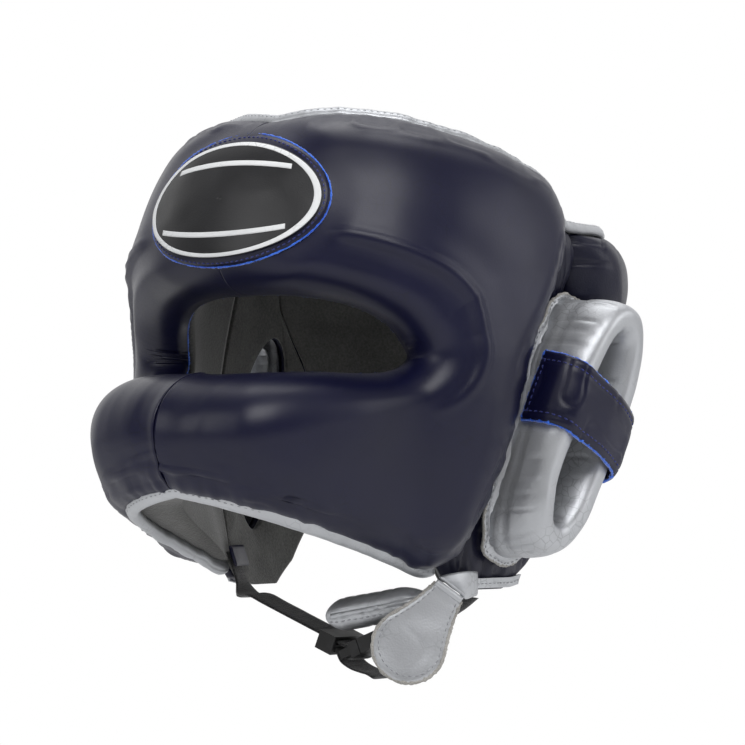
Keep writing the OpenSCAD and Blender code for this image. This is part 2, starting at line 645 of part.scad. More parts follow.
// The free end, held in the lower slot of the slider
module webbing_tail() {
  route = [[-17, 0], [-7, 0], [-5, -0.9], [-1.5, -3.6], [4, -4.4], [9, -3.9], [13, -3.2],
    [17, -3.4]];
  path = [for (p = route) strap_pt(p[0], p[1] + tail_z)];
  color(web_black) ribbon(path, [for (p = path) [0, 1, 0]], [for (p = path) web_w / 2], web_t);
}
module slider() {
  slot = web_t + 2 * gap;
  wide = web_w + 2 * gap;
  low = tail_z - slot / 2 - slider_wall;
  high = layer_z + slot / 2 + slider_wall;
  color(plastic) strap_frame() translate([slider_at - slider_l / 2, 0, 0]) difference() {
    translate([0, -wide / 2 - 2, low]) cube([slider_l, wide + 4, high - low]);
    for (z = [tail_z, layer_z]) translate([-1, -wide / 2, z - slot / 2])
      cube([slider_l + 2, wide, slot]);
  }
}
// Buckle: the plug's bar, base, guide and arms, and the socket with its windows
base_at = layer_z + web_t / 2 + 1;
base_l = 5;
arm_l = 11;
arm_w = 2.6;
arm_t = buckle_t - 4.2;
arm_y = buckle_w / 2 - 4;
socket_at = base_at + base_l + gap;
socket_l = 14;
socket_wall = 1.6;
catch_r = 1.5;
module buckle_plug() {
  rail = web_w / 2 + gap;
  color(plastic) buckle_frame() {
    rotate([90, 0, 0]) translate([0, 0, -rail - 1]) cylinder(h = 2 * rail + 2, r = plug_bar_r);
    for (side = [-1, 1]) translate([-2.2, side > 0 ? rail : -rail - 2, -2])
      cube([base_at + 2.2 + 1, 2, 4]);
    translate([base_at, -buckle_w / 2, -buckle_t / 2])
      cube([base_l, buckle_w, buckle_t]);
    translate([base_at + base_l - 1, -2.5, -arm_t / 2]) cube([arm_l, 5, arm_t]);
  }
}
arm_pivot = base_at + base_l + gap + arm_w / 2;
module buckle_arm(side) {
  color(plastic) buckle_frame() translate([arm_pivot, side * arm_y, 0]) {
    translate([0, 0, -arm_t / 2]) cylinder(h = arm_t, r = arm_w / 2);
    translate([0, -arm_w / 2, -arm_t / 2]) cube([arm_l - arm_w, arm_w, arm_t]);
    translate([arm_l - arm_w, side * (arm_w / 2 + 0.2), -arm_t / 2]) cylinder(h = arm_t, r = catch_r);
  }
}
module buckle_socket() {
  inner = arm_y + arm_w / 2 + gap;
  outer = buckle_w / 2;
  end = socket_at + socket_l;
  rail = web_w / 2 + gap;
  color(plastic) buckle_frame() {
    difference() {
      translate([socket_at, -outer, -buckle_t / 2]) cube([socket_l, 2 * outer, buckle_t]);
      translate([socket_at - 1, -inner, -arm_t / 2 - gap])
        cube([socket_l, 2 * inner, arm_t + 2 * gap]);
      translate([arm_pivot + arm_l - arm_w - catch_r - 1, -outer - 1, -arm_t / 2 - gap])
        cube([2 * catch_r + 2, 2 * outer + 2, arm_t + 2 * gap]);
    }
    translate([end + 3.4, 0, 0]) rotate([90, 0, 0]) translate([0, 0, -rail - 1])
      cylinder(h = 2 * rail + 2, r = plug_bar_r);
    for (side = [-1, 1]) translate([end - 1, side > 0 ? rail : -rail - 2, -2]) cube([6.6, 2, 4]);
  }
}
// Short webbing from the socket's bar up to the left anchor tab
socket_end = socket_at + socket_l + 3.4;
function buckle_pt(x, z) = bar_at + [x * cos(buckle_slope) + z * sin(buckle_slope), 0,
  -x * sin(buckle_slope) + z * cos(buckle_slope)];
module short_webbing() {
  up = plug_bar_r + gap / 2 + web_t / 2;
  path = [buckle_pt(socket_end - 1.6, up), buckle_pt(socket_end + 3, up), [61, -46, -117.5],
    [66, -36, -112], [67.5, -27, -107]];
  ways = [[0, 1, 0], [0, 1, 0], unit([0.1, 0.99, -0.1]), unit([0.2, 0.97, -0.1]),
    unit([0.3, 0.95, -0.1])];
  color(web_black) ribbon(path, ways, [for (p = path) web_w / 2 - 1], web_t);
}

// Teardrop flap over the buckle, and the tab that holds it
flap_at = [72, -47, -104];
flap_down = unit([-0.391, -0.466, -0.794]);
flap_out = unit([0.62, -0.74, 0.153]);
flap_across = unit(cross(flap_out, flap_down));
neck_half = 7;
module flap_frame() {
  x = flap_across;
  z = -flap_down;
  y = cross(z, x);
  multmatrix([[x[0], y[0], z[0], flap_at[0]], [x[1], y[1], z[1], flap_at[1]],
    [x[2], y[2], z[2], flap_at[2]]]) children();
}
module cover_flap() {
  r = flap_w / 2;
  low = -flap_l + r;
  color(silver) flap_frame() {
    rotate([0, 90, 0]) translate([0, 0, -neck_half])
      cylinder(h = 2 * neck_half, r = flap_pin_r);
    rotate([90, 0, 0]) translate([0, 0, -flap_t / 2]) linear_extrude(flap_t) {
      translate([0, low]) circle(r);
      polygon([[-neck_half, 0], [-r * cos(28), low + r * sin(28)],
        [r * cos(28), low + r * sin(28)], [neck_half, 0]]);
    }
  }
}
module flap_anchor() {
  start = flap_at - flap_down * (flap_pin_r + gap + 0.4);
  path = [start, [72.8, -40, -101.8], [72.4, -31, -101.4], [68.5, -19, -101.2]];
  ways = [flap_across, unit(mix(flap_across, [0, 0.1, -1], 0.5)), [0, 0, -1], [0, 0, -1]];
  color(silver) ribbon(path, ways, [neck_half, 6.4, 6, 5.4], leather_t);
}

// Jaw pad, one stuffed piece under the left side of the jaw
jaw_at = [63.4, -41, -106.4];
jaw_way = unit([-0.88, -0.3, -0.18]);
jaw_across = unit([0.3, -0.95, 0]);
jaw_up = cross(jaw_across, jaw_way);
jaw_steps = 12;
jaw_sides = 12;
function jaw_ring(k) =
  let (f = k / jaw_steps, x = f * jaw_pad_l,
    swell = sqrt(max(0, 1 - pow(max(0, x - jaw_pad_l * 0.8) / (jaw_pad_l * 0.21), 2))),
    thick = (mix(0.36, 1, ramp(f, 0, 0.35)) * jaw_pad_t / 2) * swell,
    wide = jaw_pad_w / 2 * (0.25 + 0.75 * swell) * mix(0.5, 1, ramp(f, 0, 0.4)),
    c = jaw_at + jaw_way * x)
  [for (j = [0 : jaw_sides - 1]) let (a = -360 * j / jaw_sides)
    c + jaw_across * max(0.6, wide) * power(cos(a), 0.8)
      + jaw_up * max(0.5, thick) * power(sin(a), 0.8)];
module jaw_pad() {
  color(silver) tube([for (k = [0 : jaw_steps]) jaw_ring(k)]);
}
// Silver hem under each ear pad
module hem_tab(side) {
  function row(k, out) = let (t = mix(68, 97, k / 8))
    [for (z = [-99, -101.5, -103.6]) pad(t, z + 1.2 * ramp(abs(t - 83), 8, 15), out)];
  color(silver) at_side(side) skin([for (k = [0 : 8]) row(k, ear_out + gap + leather_t)],
    [for (k = [0 : 8]) row(k, ear_out + gap)]);
}
module webbing_anchor() {
  patch_in = -2 * gap - web_t - leather_t / 2;
  function at(k, z) = pad(anchor_turn - 8 + 4 * k, z, patch_in);
  color(navy) ribbon([for (k = [0 : 4]) at(k, -90)],
    [for (k = [0 : 4]) unit(at(k, -85) - at(k, -95))], [for (k = [0 : 4]) 5], leather_t);
}

face_cover(1);  // face_cover_left
face_cover(-1);  // face_cover_right
face_lining();
brow_foam();
cheek_foam(1);  // cheek_foam_left
cheek_foam(-1);  // cheek_foam_right
bar_foam();
bar_core();
lower_binding();
crown_binding();
badge_backing();
badge_face();
rear_cover();
rear_foam();
rear_lining();
side_gusset(1);  // side_gusset_left
side_gusset(-1);  // side_gusset_right
side_lining(1);  // side_lining_left
side_lining(-1);  // side_lining_right
ear_pad_cover(1);  // ear_pad_cover_left
ear_pad_cover(-1);  // ear_pad_cover_right
ear_pad_foam(1);  // ear_pad_foam_left
ear_pad_foam(-1);  // ear_pad_foam_right
ear_strap(1);  // ear_strap_left
ear_strap(-1);  // ear_strap_right
crown_panel(1);  // crown_panel_left
crown_panel(-1);  // crown_panel_right
crown_tongue();
crown_lace();
crown_eyelets();
rear_strap();
rear_hook_patch();
rear_loop_patch();
rear_hinge_tab();
chin_webbing();
webbing_tail();
slider();
buckle_plug();
buckle_socket();
buckle_arm(-1);  // buckle_arm_front
buckle_arm(1);  // buckle_arm_rear
short_webbing();
flap_anchor();
cover_flap();
jaw_pad();
hem_tab(1);  // hem_tab_left
hem_tab(-1);  // hem_tab_right
webbing_anchor();
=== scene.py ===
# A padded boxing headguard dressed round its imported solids. Millimetres inside, metres in Blender.
import math

import bpy
import numpy as np
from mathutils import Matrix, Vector


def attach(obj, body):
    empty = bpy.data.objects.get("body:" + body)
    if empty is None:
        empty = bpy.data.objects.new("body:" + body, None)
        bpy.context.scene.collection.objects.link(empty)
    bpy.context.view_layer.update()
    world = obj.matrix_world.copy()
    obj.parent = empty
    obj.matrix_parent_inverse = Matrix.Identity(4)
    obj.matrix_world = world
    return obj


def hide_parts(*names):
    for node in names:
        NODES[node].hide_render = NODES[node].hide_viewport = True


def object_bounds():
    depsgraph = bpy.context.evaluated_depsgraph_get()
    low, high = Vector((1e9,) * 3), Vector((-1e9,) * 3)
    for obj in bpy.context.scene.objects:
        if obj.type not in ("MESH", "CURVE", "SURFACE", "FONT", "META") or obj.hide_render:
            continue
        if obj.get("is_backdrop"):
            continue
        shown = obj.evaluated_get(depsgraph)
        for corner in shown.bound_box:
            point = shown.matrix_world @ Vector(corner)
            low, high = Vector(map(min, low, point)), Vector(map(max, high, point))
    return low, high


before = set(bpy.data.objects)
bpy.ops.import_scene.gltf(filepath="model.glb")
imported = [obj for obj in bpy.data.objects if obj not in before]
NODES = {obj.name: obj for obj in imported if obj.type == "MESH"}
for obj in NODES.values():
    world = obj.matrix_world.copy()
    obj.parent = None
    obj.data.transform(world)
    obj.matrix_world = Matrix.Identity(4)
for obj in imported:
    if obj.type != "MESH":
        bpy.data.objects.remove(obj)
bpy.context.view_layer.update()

MM = 0.001

# Camera: the view from the wearer's front left
AZ, EL, DIST = 34.5, -2.0, 1.5
LENS = 155.8
AIM_RIGHT, AIM_UP = -0.0007, -0.0049


def camera():
    a, e = math.radians(AZ), math.radians(EL)
    way = Vector((math.sin(a) * math.cos(e), -math.cos(a) * math.cos(e), math.sin(e)))
    right = Vector((math.cos(a), math.sin(a), 0))
    up = right.cross(-way)
    up = up if up.z > 0 else -up
    aim = right * AIM_RIGHT + up * AIM_UP
    data = bpy.data.cameras.new("camera")
    data.lens = LENS
    data.sensor_fit = "HORIZONTAL"
    data.sensor_width = 36
    data.clip_start = 0.05
    cam = bpy.data.objects.new("camera", data)
    cam.location = aim + way * DIST
    cam.rotation_euler = way.to_track_quat("Z", "Y").to_euler()
    bpy.context.scene.collection.objects.link(cam)
    bpy.context.scene.camera = cam


camera()


WORD = {1: "left", -1: "right"}


# Helpers for numbers
def mix(a, b, f):
    return a * (1 - f) + b * f


def ramp(x, a, b):
    f = np.clip((np.asarray(x, float) - a) / (b - a), 0, 1)
    return f * f * (3 - 2 * f)


def roll(x, r):
    f = 1 - np.clip(np.asarray(x, float), 0, r) / r
    return np.sqrt(np.maximum(0, 1 - f * f))


def curve(p, s):
    p = np.asarray(p, float)
    n = len(p) - 1
    s = np.asarray(s, float)
    i = np.clip(np.floor(s * n).astype(int), 0, n - 1)
    f = (s * n - i)[..., None]
    a, b = p[np.maximum(i - 1, 0)], p[i]
    c, d = p[i + 1], p[np.minimum(i + 2, n)]
    return 0.5 * (2 * b + (c - a) * f + (2 * a - 5 * b + 4 * c - d) * f * f
                  + (3 * b - a - 3 * c + d) * f ** 3)


def power(x, e):
    return np.sign(x) * np.abs(x) ** e


def bump_at(x, middle, half):
    return np.exp(-((np.asarray(x) - middle) / half) ** 2)


def lattice(x, y, z, seed):
    h = (x * 374761393 + y * 668265263 + z * 1274126177 + seed * 974634777) & 0xFFFFFFFF
    h = ((h ^ (h >> 13)) * 1103515245) & 0xFFFFFFFF
    h = ((h ^ (h >> 16)) * 2654435761) & 0xFFFFFFFF
    return (h & 0xFFFF) / 32767.5 - 1


def noise(x, y, z=0.0, seed=0):
    x, y, z = np.broadcast_arrays(np.asarray(x, float), y, z)
    xi, yi, zi = (np.floor(q).astype(np.int64) for q in (x, y, z))
    fx, fy, fz = x - xi, y - yi, z - zi
    fx, fy, fz = (q * q * q * (q * (q * 6 - 15) + 10) for q in (fx, fy, fz))
    total = 0
    for dx in (0, 1):
        for dy in (0, 1):
            for dz in (0, 1):
                w = (fx if dx else 1 - fx) * (fy if dy else 1 - fy) * (fz if dz else 1 - fz)
                total = total + w * lattice(xi + dx, yi + dy, zi + dz, seed)
    return total


def folds(x, y, z=0.0, seed=0, thin=0.16):
    # Sharp valleys along the lines where the noise changes sign, 0 elsewhere
    return -np.exp(-(noise(x, y, z, seed) / thin) ** 2)


# Meshes
def link(name, mesh, material):
    obj = bpy.data.objects.new(name, mesh)
    bpy.context.scene.collection.objects.link(obj)
    mesh.polygons.foreach_set("use_smooth", [True] * len(mesh.polygons))
    mesh.materials.append(material)
    return obj


def make_mesh(name, verts, faces, uvs=None):
    mesh = bpy.data.meshes.new(name)
    mesh.from_pydata([tuple(v) for v in np.asarray(verts) * MM], [], faces)
    if uvs is not None:
        layer = mesh.uv_layers.new(name="UVMap")
        loops = np.empty(len(mesh.loops), int)
        mesh.loops.foreach_get("vertex_index", loops)
        layer.data.foreach_set("uv", (np.asarray(uvs, float)[loops] * MM).ravel())
    mesh.update()
    return mesh


class Surf:
    """A grid of points with normals, that can be pushed out and read between its points."""

    def __init__(self, p, flip=False, wrap=False):
        self.p = np.asarray(p, float)
        self.flip = flip
        self.wrap = wrap
        self.normals()

    def normals(self):
        p = self.p
        if self.wrap:
            du = np.roll(p, -1, 0) - np.roll(p, 1, 0)
        else:
            du = np.gradient(p, axis=0)
        dv = np.gradient(p, axis=1)
        n = np.cross(du, dv)
        size = np.linalg.norm(n, axis=-1, keepdims=True)
        n = n / np.maximum(size, 1e-9)
        self.n = -n if self.flip else n

    def turn(self):
        self.flip = not self.flip
        self.normals()

    def push(self, d):
        self.p = self.p + self.n * np.asarray(d)[..., None]
        self.normals()

    def at(self, a, b, lift=0.0):
        m, n = self.p.shape[:2]
        x = np.asarray(a, float) * (m if self.wrap else m - 1)
        y = np.clip(np.asarray(b, float), 0, 1) * (n - 1)
        if not self.wrap:
            x = np.clip(x, 0, m - 1 - 1e-6)
        i, j = np.floor(x).astype(int), np.minimum(np.floor(y).astype(int), n - 2)
        fx, fy = (x - i)[..., None], (y - j)[..., None]
        i0, i1 = i % m, (i + 1) % m

        def pick(g):
            return (g[i0, j] * (1 - fx) * (1 - fy) + g[i1, j] * fx * (1 - fy)
                    + g[i0, j + 1] * (1 - fx) * fy + g[i1, j + 1] * fx * fy)

        nn = pick(self.n)
        nn = nn / np.maximum(np.linalg.norm(nn, axis=-1, keepdims=True), 1e-9)
        return pick(self.p) + nn * lift, nn

    def along(self, a0, a1, count, b, lift):
        return self.at(np.linspace(a0, a1, count), np.full(count, b), lift)

    def across(self, a, b0, b1, count, lift):
        return self.at(np.full(count, a), np.linspace(b0, b1, count), lift)

    def lengths(self):
        du = np.linalg.norm(np.diff(self.p, axis=0), axis=-1)
        dv = np.linalg.norm(np.diff(self.p, axis=1), axis=-1)
        u = np.concatenate([np.zeros((1, self.p.shape[1])), np.cumsum(du, 0)])
        v = np.concatenate([np.zeros((self.p.shape[0], 1)), np.cumsum(dv, 1)], 1)
        return u, v


def grid_faces(m, n, wrap, base=0, flip=False):
    k = np.arange(m if wrap else m - 1)
    j = np.arange(n - 1)
    kk, jj = np.meshgrid(k, j, indexing="ij")
    a = kk * n + jj
    b = ((kk + 1) % m) * n + jj
    q = np.stack([a, a + 1, b + 1, b] if flip else [a, b, b + 1, a + 1], -1).reshape(-1, 4)
    return (q + base).tolist()


def shell(name, surf, thick, material, back=None):
    """A closed sheet: the surface outside, the same set in by its thickness inside."""
    m, n = surf.p.shape[:2]
    inner = surf.p - surf.n * thick if back is None else back
    verts = np.concatenate([surf.p.reshape(-1, 3), np.asarray(inner).reshape(-1, 3)])
    out = not surf.flip
    faces = grid_faces(m, n, surf.wrap, 0, not out) + grid_faces(m, n, surf.wrap, m * n, out)
    for k in range(m if surf.wrap else m - 1):
        a, b = k * n, ((k + 1) % m) * n
        q = [a, a + m * n, b + m * n, b]
        faces.append(q if out else q[::-1])
        a, b = a + n - 1, b + n - 1
        q = [b, b + m * n, a + m * n, a]
        faces.append(q if out else q[::-1])
    if not surf.wrap:
        for j in range(n - 1):
            q = [j + 1, j + 1 + m * n, j + m * n, j]
            faces.append(q if out else q[::-1])
            c = (m - 1) * n + j
            q = [c, c + m * n, c + 1 + m * n, c + 1]
            faces.append(q if out else q[::-1])
    u, v = surf.lengths()
    uv = np.stack([u, v], -1).reshape(-1, 2)
    return link(name, make_mesh(name, verts, faces, np.concatenate([uv, uv])), material)


def resample(pts, step, closed=False):
    pts = np.asarray(pts, float)
    if closed:
        pts = np.concatenate([pts, pts[:1]])
    d = np.linalg.norm(np.diff(pts, axis=0), axis=1)
    s = np.concatenate([[0], np.cumsum(d)])
    n = max(2, int(round(s[-1] / step)) + 1)
    q = np.linspace(0, s[-1], n)
    out = np.stack([np.interp(q, s, pts[:, i]) for i in range(pts.shape[1])], 1)
    return out[:-1] if closed else out


def unit(v):
    return v / np.maximum(np.linalg.norm(v, axis=-1, keepdims=True), 1e-9)


def tube_mesh(name, pts, ups, widths, heights, sides=12, closed=False, power_e=1.0):
    """A tube along points: its section is a rounded oval set by a width and a height."""
    pts, ups = np.asarray(pts, float), np.asarray(ups, float)
    m = len(pts)
    if closed:
        way = unit(np.roll(pts, -1, 0) - np.roll(pts, 1, 0))
    else:
        way = unit(np.gradient(pts, axis=0))
    side = unit(np.cross(way, ups))
    up = np.cross(side, way)
    w = np.broadcast_to(np.asarray(widths, float), (m,)) / 2
    h = np.broadcast_to(np.asarray(heights, float), (m,)) / 2
    a = np.linspace(0, 2 * math.pi, sides, endpoint=False)
    ca, sa = power(np.cos(a), power_e), power(np.sin(a), power_e)
    verts = (pts[:, None] + side[:, None] * (w[:, None] * ca)[..., None]
             + up[:, None] * (h[:, None] * sa)[..., None])
    faces = []
    last = m if closed else m - 1
    for k in range(last):
        a0, b0 = k * sides, ((k + 1) % m) * sides
        for j in range(sides):
            j2 = (j + 1) % sides
            faces.append([a0 + j, b0 + j, b0 + j2, a0 + j2])
    if not closed:
        faces.append(list(range(sides)))
        faces.append([(m - 1) * sides + j for j in range(sides - 1, -1, -1)])
    length = np.concatenate([[0], np.cumsum(np.linalg.norm(np.diff(pts, axis=0), axis=1))])
    uv = np.stack([np.repeat(length, sides),
                   np.tile(np.linspace(0, 1, sides) * float(np.mean(w + h)) * 3, m)], 1)
    return make_mesh(name, verts.reshape(-1, 3), faces, uv)


def stitches(name, pts, ups, slot, material, pitch=3.4, length=2.5, r=0.36, sink=0.12):
    """A row of separate sewn stitches, each an arched thread that dips in at both ends."""
    pts, ups = np.asarray(pts, float), np.asarray(ups, float)
    both = resample(np.concatenate([pts, ups], 1), pitch)
    p, up = both[:, :3], unit(both[:, 3:])
    way = unit(np.gradient(p, axis=0))
    side = unit(np.cross(way, up))
    rings, sides = 5, 6
    x = np.linspace(-0.5, 0.5, rings) * length
    arch = np.array([-0.55, 0.25, 0.42, 0.25, -0.55]) * r * 1.6 - sink
    fat = np.array([0.55, 0.95, 1.0, 0.95, 0.55]) * r
    a = np.linspace(0, 2 * math.pi, sides, endpoint=False)
    verts, faces = [], []
    rng = np.random.default_rng(len(p) * 7 + 3)
    turn = rng.normal(0, 0.07, len(p))
    for k in range(len(p)):
        w = way[k] * math.cos(turn[k]) + side[k] * math.sin(turn[k])
        sd = unit(np.cross(w, up[k]))
        base = len(verts)
        for i in range(rings):
            c = p[k] + w * x[i] + up[k] * arch[i]
            for j in range(sides):
                verts.append(c + fat[i] * (sd * math.cos(a[j]) + up[k] * math.sin(a[j])))
        for i in range(rings - 1):
            for j in range(sides):
                j2 = (j + 1) % sides
                q = base + i * sides
                faces.append([q + j, q + sides + j, q + sides + j2, q + j2])
        faces.append([base + j for j in range(sides)])
        faces.append([base + (rings - 1) * sides + j for j in range(sides - 1, -1, -1)])
    return link(name, make_mesh(name, verts, faces), material)


def raw_edge(name, pts, ups, slot, material, r=0.85, fibres=2.2, closed=False, seed=5):
    """The cut edge of dyed leather: a lumpy bead with short loose fibres."""
    both = resample(np.concatenate([pts, ups], 1), 0.8, closed)
    p, up = both[:, :3], unit(both[:, 3:])
    rng = np.random.default_rng(seed)
    m = len(p)
    lump = 1 + 0.22 * noise(np.arange(m) * 0.55, 0.0, 0.0, seed) + rng.normal(0, 0.06, m)
    sides = 7
    mesh_pts = p + rng.normal(0, 0.05, p.shape)
    way = unit(np.roll(p, -1, 0) - np.roll(p, 1, 0)) if closed else unit(np.gradient(p, axis=0))
    side = unit(np.cross(way, up))
    a = np.linspace(0, 2 * math.pi, sides, endpoint=False)
    ring = (side[:, None] * np.cos(a)[None, :, None] + up[:, None] * np.sin(a)[None, :, None])
    jit = 1 + rng.normal(0, 0.1, (m, sides))
    verts = (mesh_pts[:, None] + ring * (r * lump[:, None] * jit)[..., None]).reshape(-1, 3)
    faces = []
    for k in range(m if closed else m - 1):
        a0, b0 = k * sides, ((k + 1) % m) * sides
        for j in range(sides):
            j2 = (j + 1) % sides
            faces.append([a0 + j, b0 + j, b0 + j2, a0 + j2])
    verts = verts.tolist()
    count = int(m * 0.8 * fibres)
    pick = rng.integers(0, m, count)
    ang = rng.uniform(0, 2 * math.pi, count)
    for k, t in zip(pick, ang):
        d = side[k] * math.cos(t) + up[k] * math.sin(t)
        d = unit(d + rng.normal(0, 0.35, 3))
        root = p[k] + d * r * 0.8 * lump[k]
        tip = root + d * rng.uniform(0.25, 0.8) + way[k] * rng.normal(0, 0.3)
        w = way[k] * 0.09
        base = len(verts)
        verts += [root - w, root + w, tip]
        faces.append([base, base + 1, base + 2])
    return link(name, make_mesh(name, verts, faces), material)


# Each helper says which body the new piece moves with
def dress(obj, body, *nodes):
    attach(obj, body)
    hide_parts(*nodes)


def sew(body, name, pts, ups, row, **more):
    slot, material, pitch, length, r = row
    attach(stitches(name, pts, ups, slot, material, pitch, length, r, **more), body)


def fray(body, name, pts, ups, cut, **more):
    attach(raw_edge(name, pts, ups, *cut, **more), body)


# Materials
def srgb(r, g, b):
    c = [v / 255 for v in (r, g, b)]
    return [v / 12.92 if v <= 0.04045 else ((v + 0.055) / 1.055) ** 2.4 for v in c] + [1.0]


def start(name):
    mat = bpy.data.materials.new(name)
    mat.use_nodes = True
    tree = mat.node_tree
    return mat, tree, tree.nodes["Principled BSDF"]


def put(tree, kind, settings=None, **inputs):
    n = tree.nodes.new("ShaderNode" + kind)
    for key, value in (settings or {}).items():
        setattr(n, key, value)
    for key, value in inputs.items():
        name = key.replace("_", " ")
        sock = n.inputs[int(key[1:])] if key[0] == "i" and key[1:].isdigit() else n.inputs[name]
        if isinstance(value, bpy.types.NodeSocket):
            tree.links.new(value, sock)
        else:
            sock.default_value = value
    return n


def wire(shader, name, socket):
    shader.id_data.links.new(socket, shader.inputs[name])


def cloudy(tree, vector, scale, detail):
    return put(tree, "TexNoise", None, Vector=vector, Scale=scale, Detail=detail).outputs["Fac"]


def rough_up(tree, shader, height, strength, distance):
    bump = put(tree, "Bump", None, Height=height, Strength=strength, Distance=distance)
    wire(shader, "Normal", bump.outputs[0])


def maths(tree, op, a, b=0.0, c=0.0):
    return put(tree, "Math", {"operation": op}, i0=a, i1=b, i2=c).outputs[0]


def span_map(tree, value, a, b, low, high):
    n = put(tree, "MapRange", None, Value=value)
    for name, number in zip(("From Min", "From Max", "To Min", "To Max"), (a, b, low, high)):
        n.inputs[name].default_value = number
    return n.outputs["Result"]


def blend_colour(tree, f, a, b):
    n = tree.nodes.new("ShaderNodeMix")
    n.data_type = "RGBA"
    for sock, value in ((n.inputs[0], f), (n.inputs[6], a), (n.inputs[7], b)):
        if isinstance(value, bpy.types.NodeSocket):
            tree.links.new(value, sock)
        else:
            sock.default_value = value
    return n.outputs[2]


def leather(name, base, light, rough=0.4, metal=0.0, grain=0.9, depth=0.00012, crack=0.35,
            coat=0.0, spec=0.5):
    """Grained leather: pebbles, pores, fine creases, and a finish that varies over the hide."""
    mat, t, bsdf = start(name)
    co = put(t, "TexCoord").outputs["Object"]
    warp = put(t, "TexNoise", None, Vector=co, Scale=140.0, Detail=2.0).outputs["Color"]
    bent = put(t, "VectorMath", {"operation": "MULTIPLY_ADD"}, i0=warp,
               i1=(0.0016, 0.0016, 0.0016), i2=co).outputs[0]
    pebble = put(t, "TexVoronoi", {"feature": "SMOOTH_F1"}, Vector=bent, Scale=1000 / grain,
                 Smoothness=0.5).outputs["Distance"]
    pores = cloudy(t, co, 2300.0, 3.0)
    lines = put(t, "TexVoronoi", {"feature": "DISTANCE_TO_EDGE"}, Vector=bent,
                Scale=210.0).outputs["Distance"]
    line = span_map(t, lines, 0.0, 0.06, 1.0, 0.0)
    where = cloudy(t, co, 34.0, 3.0)
    worn = span_map(t, where, 0.5, 0.7, 0.0, 1.0)
    lined = maths(t, "MULTIPLY", line, worn)
    h = maths(t, "MULTIPLY_ADD", pebble, -0.8, 1.0)
    h = maths(t, "MULTIPLY_ADD", pores, 0.35, h)
    h = maths(t, "MULTIPLY_ADD", lined, -crack, h)
    rough_up(t, bsdf, h, 0.6, depth)
    cloud = cloudy(t, co, 17.0, 4.0)
    tone = span_map(t, cloud, 0.3, 0.72, 0.0, 1.0)
    col = blend_colour(t, tone, base, light)
    dark = [c * 0.45 for c in base[:3]] + [1.0]
    col = blend_colour(t, maths(t, "MULTIPLY", lined, 0.6), col, dark)
    wire(bsdf, "Base Color", col)
    r = maths(t, "MULTIPLY_ADD", cloud, 0.16, rough - 0.08)
    r = maths(t, "MULTIPLY_ADD", pebble, 0.1, r)
    wire(bsdf, "Roughness", r)
    bsdf.inputs["Metallic"].default_value = metal
    bsdf.inputs["Specular IOR Level"].default_value = spec
    bsdf.inputs["Coat Weight"].default_value = coat
    bsdf.inputs["Coat Roughness"].default_value = 0.32
    return mat


def suede(name, base, light, scale=900.0, depth=0.0005, sheen=0.35):
    mat, t, bsdf = start(name)
    co = put(t, "TexCoord").outputs["Object"]
    nap = cloudy(t, co, scale, 4.0)
    cloud = cloudy(t, co, 45.0, 4.0)
    f = maths(t, "MULTIPLY_ADD", nap, 0.9, maths(t, "MULTIPLY", cloud, 0.7))
    col = blend_colour(t, span_map(t, f, 0.5, 1.1, 0.0, 1.0), base, light)
    wire(bsdf, "Base Color", col)
    rough_up(t, bsdf, f, 0.7, depth)
    bsdf.inputs["Roughness"].default_value = 0.95
    bsdf.inputs["Specular IOR Level"].default_value = 0.15
    bsdf.inputs["Sheen Weight"].default_value = sheen
    bsdf.inputs["Sheen Roughness"].default_value = 0.5
    return mat


def webbing(name, base, light, rib=1.25, pick=1.6):
    """Woven elastic: ribs along it and picks across, read from the flat layout of the band."""
    mat, t, bsdf = start(name)
    uv = put(t, "TexCoord").outputs["UV"]
    xyz = put(t, "SeparateXYZ", None, Vector=uv)
    ribs = maths(t, "SINE", maths(t, "MULTIPLY", xyz.outputs[1], 2 * math.pi * 1000 / rib))
    skew = maths(t, "MULTIPLY_ADD", ribs, 0.7, maths(t, "MULTIPLY", xyz.outputs[0],
                                                      2 * math.pi * 1000 / pick))
    picks = maths(t, "SINE", skew)
    co = put(t, "TexCoord").outputs["Object"]
    fuzz = cloudy(t, co, 2600.0, 3.0)
    h = maths(t, "MULTIPLY_ADD", maths(t, "ABSOLUTE", ribs), 0.8, maths(t, "MULTIPLY", picks, 0.4))
    h = maths(t, "MULTIPLY_ADD", fuzz, 0.5, h)
    col = blend_colour(t, span_map(t, h, -0.3, 1.3, 0.0, 1.0), base, light)
    wire(bsdf, "Base Color", col)
    rough_up(t, bsdf, h, 0.8, 0.0002)
    bsdf.inputs["Roughness"].default_value = 0.75
    bsdf.inputs["Specular IOR Level"].default_value = 0.3
    bsdf.inputs["Sheen Weight"].default_value = 0.25
    return mat


def moulded(name, base, light, rough=0.36, metal=0.0, scale=1300.0):
    """Moulded plastic or metal with a fine texture and faint rub marks."""
    mat, t, bsdf = start(name)
    co = put(t, "TexCoord").outputs["Object"]
    fine = cloudy(t, co, scale, 3.0)
    rub = cloudy(t, co, 160.0, 5.0)
    col = blend_colour(t, span_map(t, rub, 0.5, 0.75, 0.0, 1.0), base, light)
    wire(bsdf, "Base Color", col)
    r = maths(t, "MULTIPLY_ADD", rub, 0.22, rough - 0.1)
    wire(bsdf, "Roughness", r)
    rough_up(t, bsdf, fine, 0.35, 0.00008)
    bsdf.inputs["Metallic"].default_value = metal
    return mat


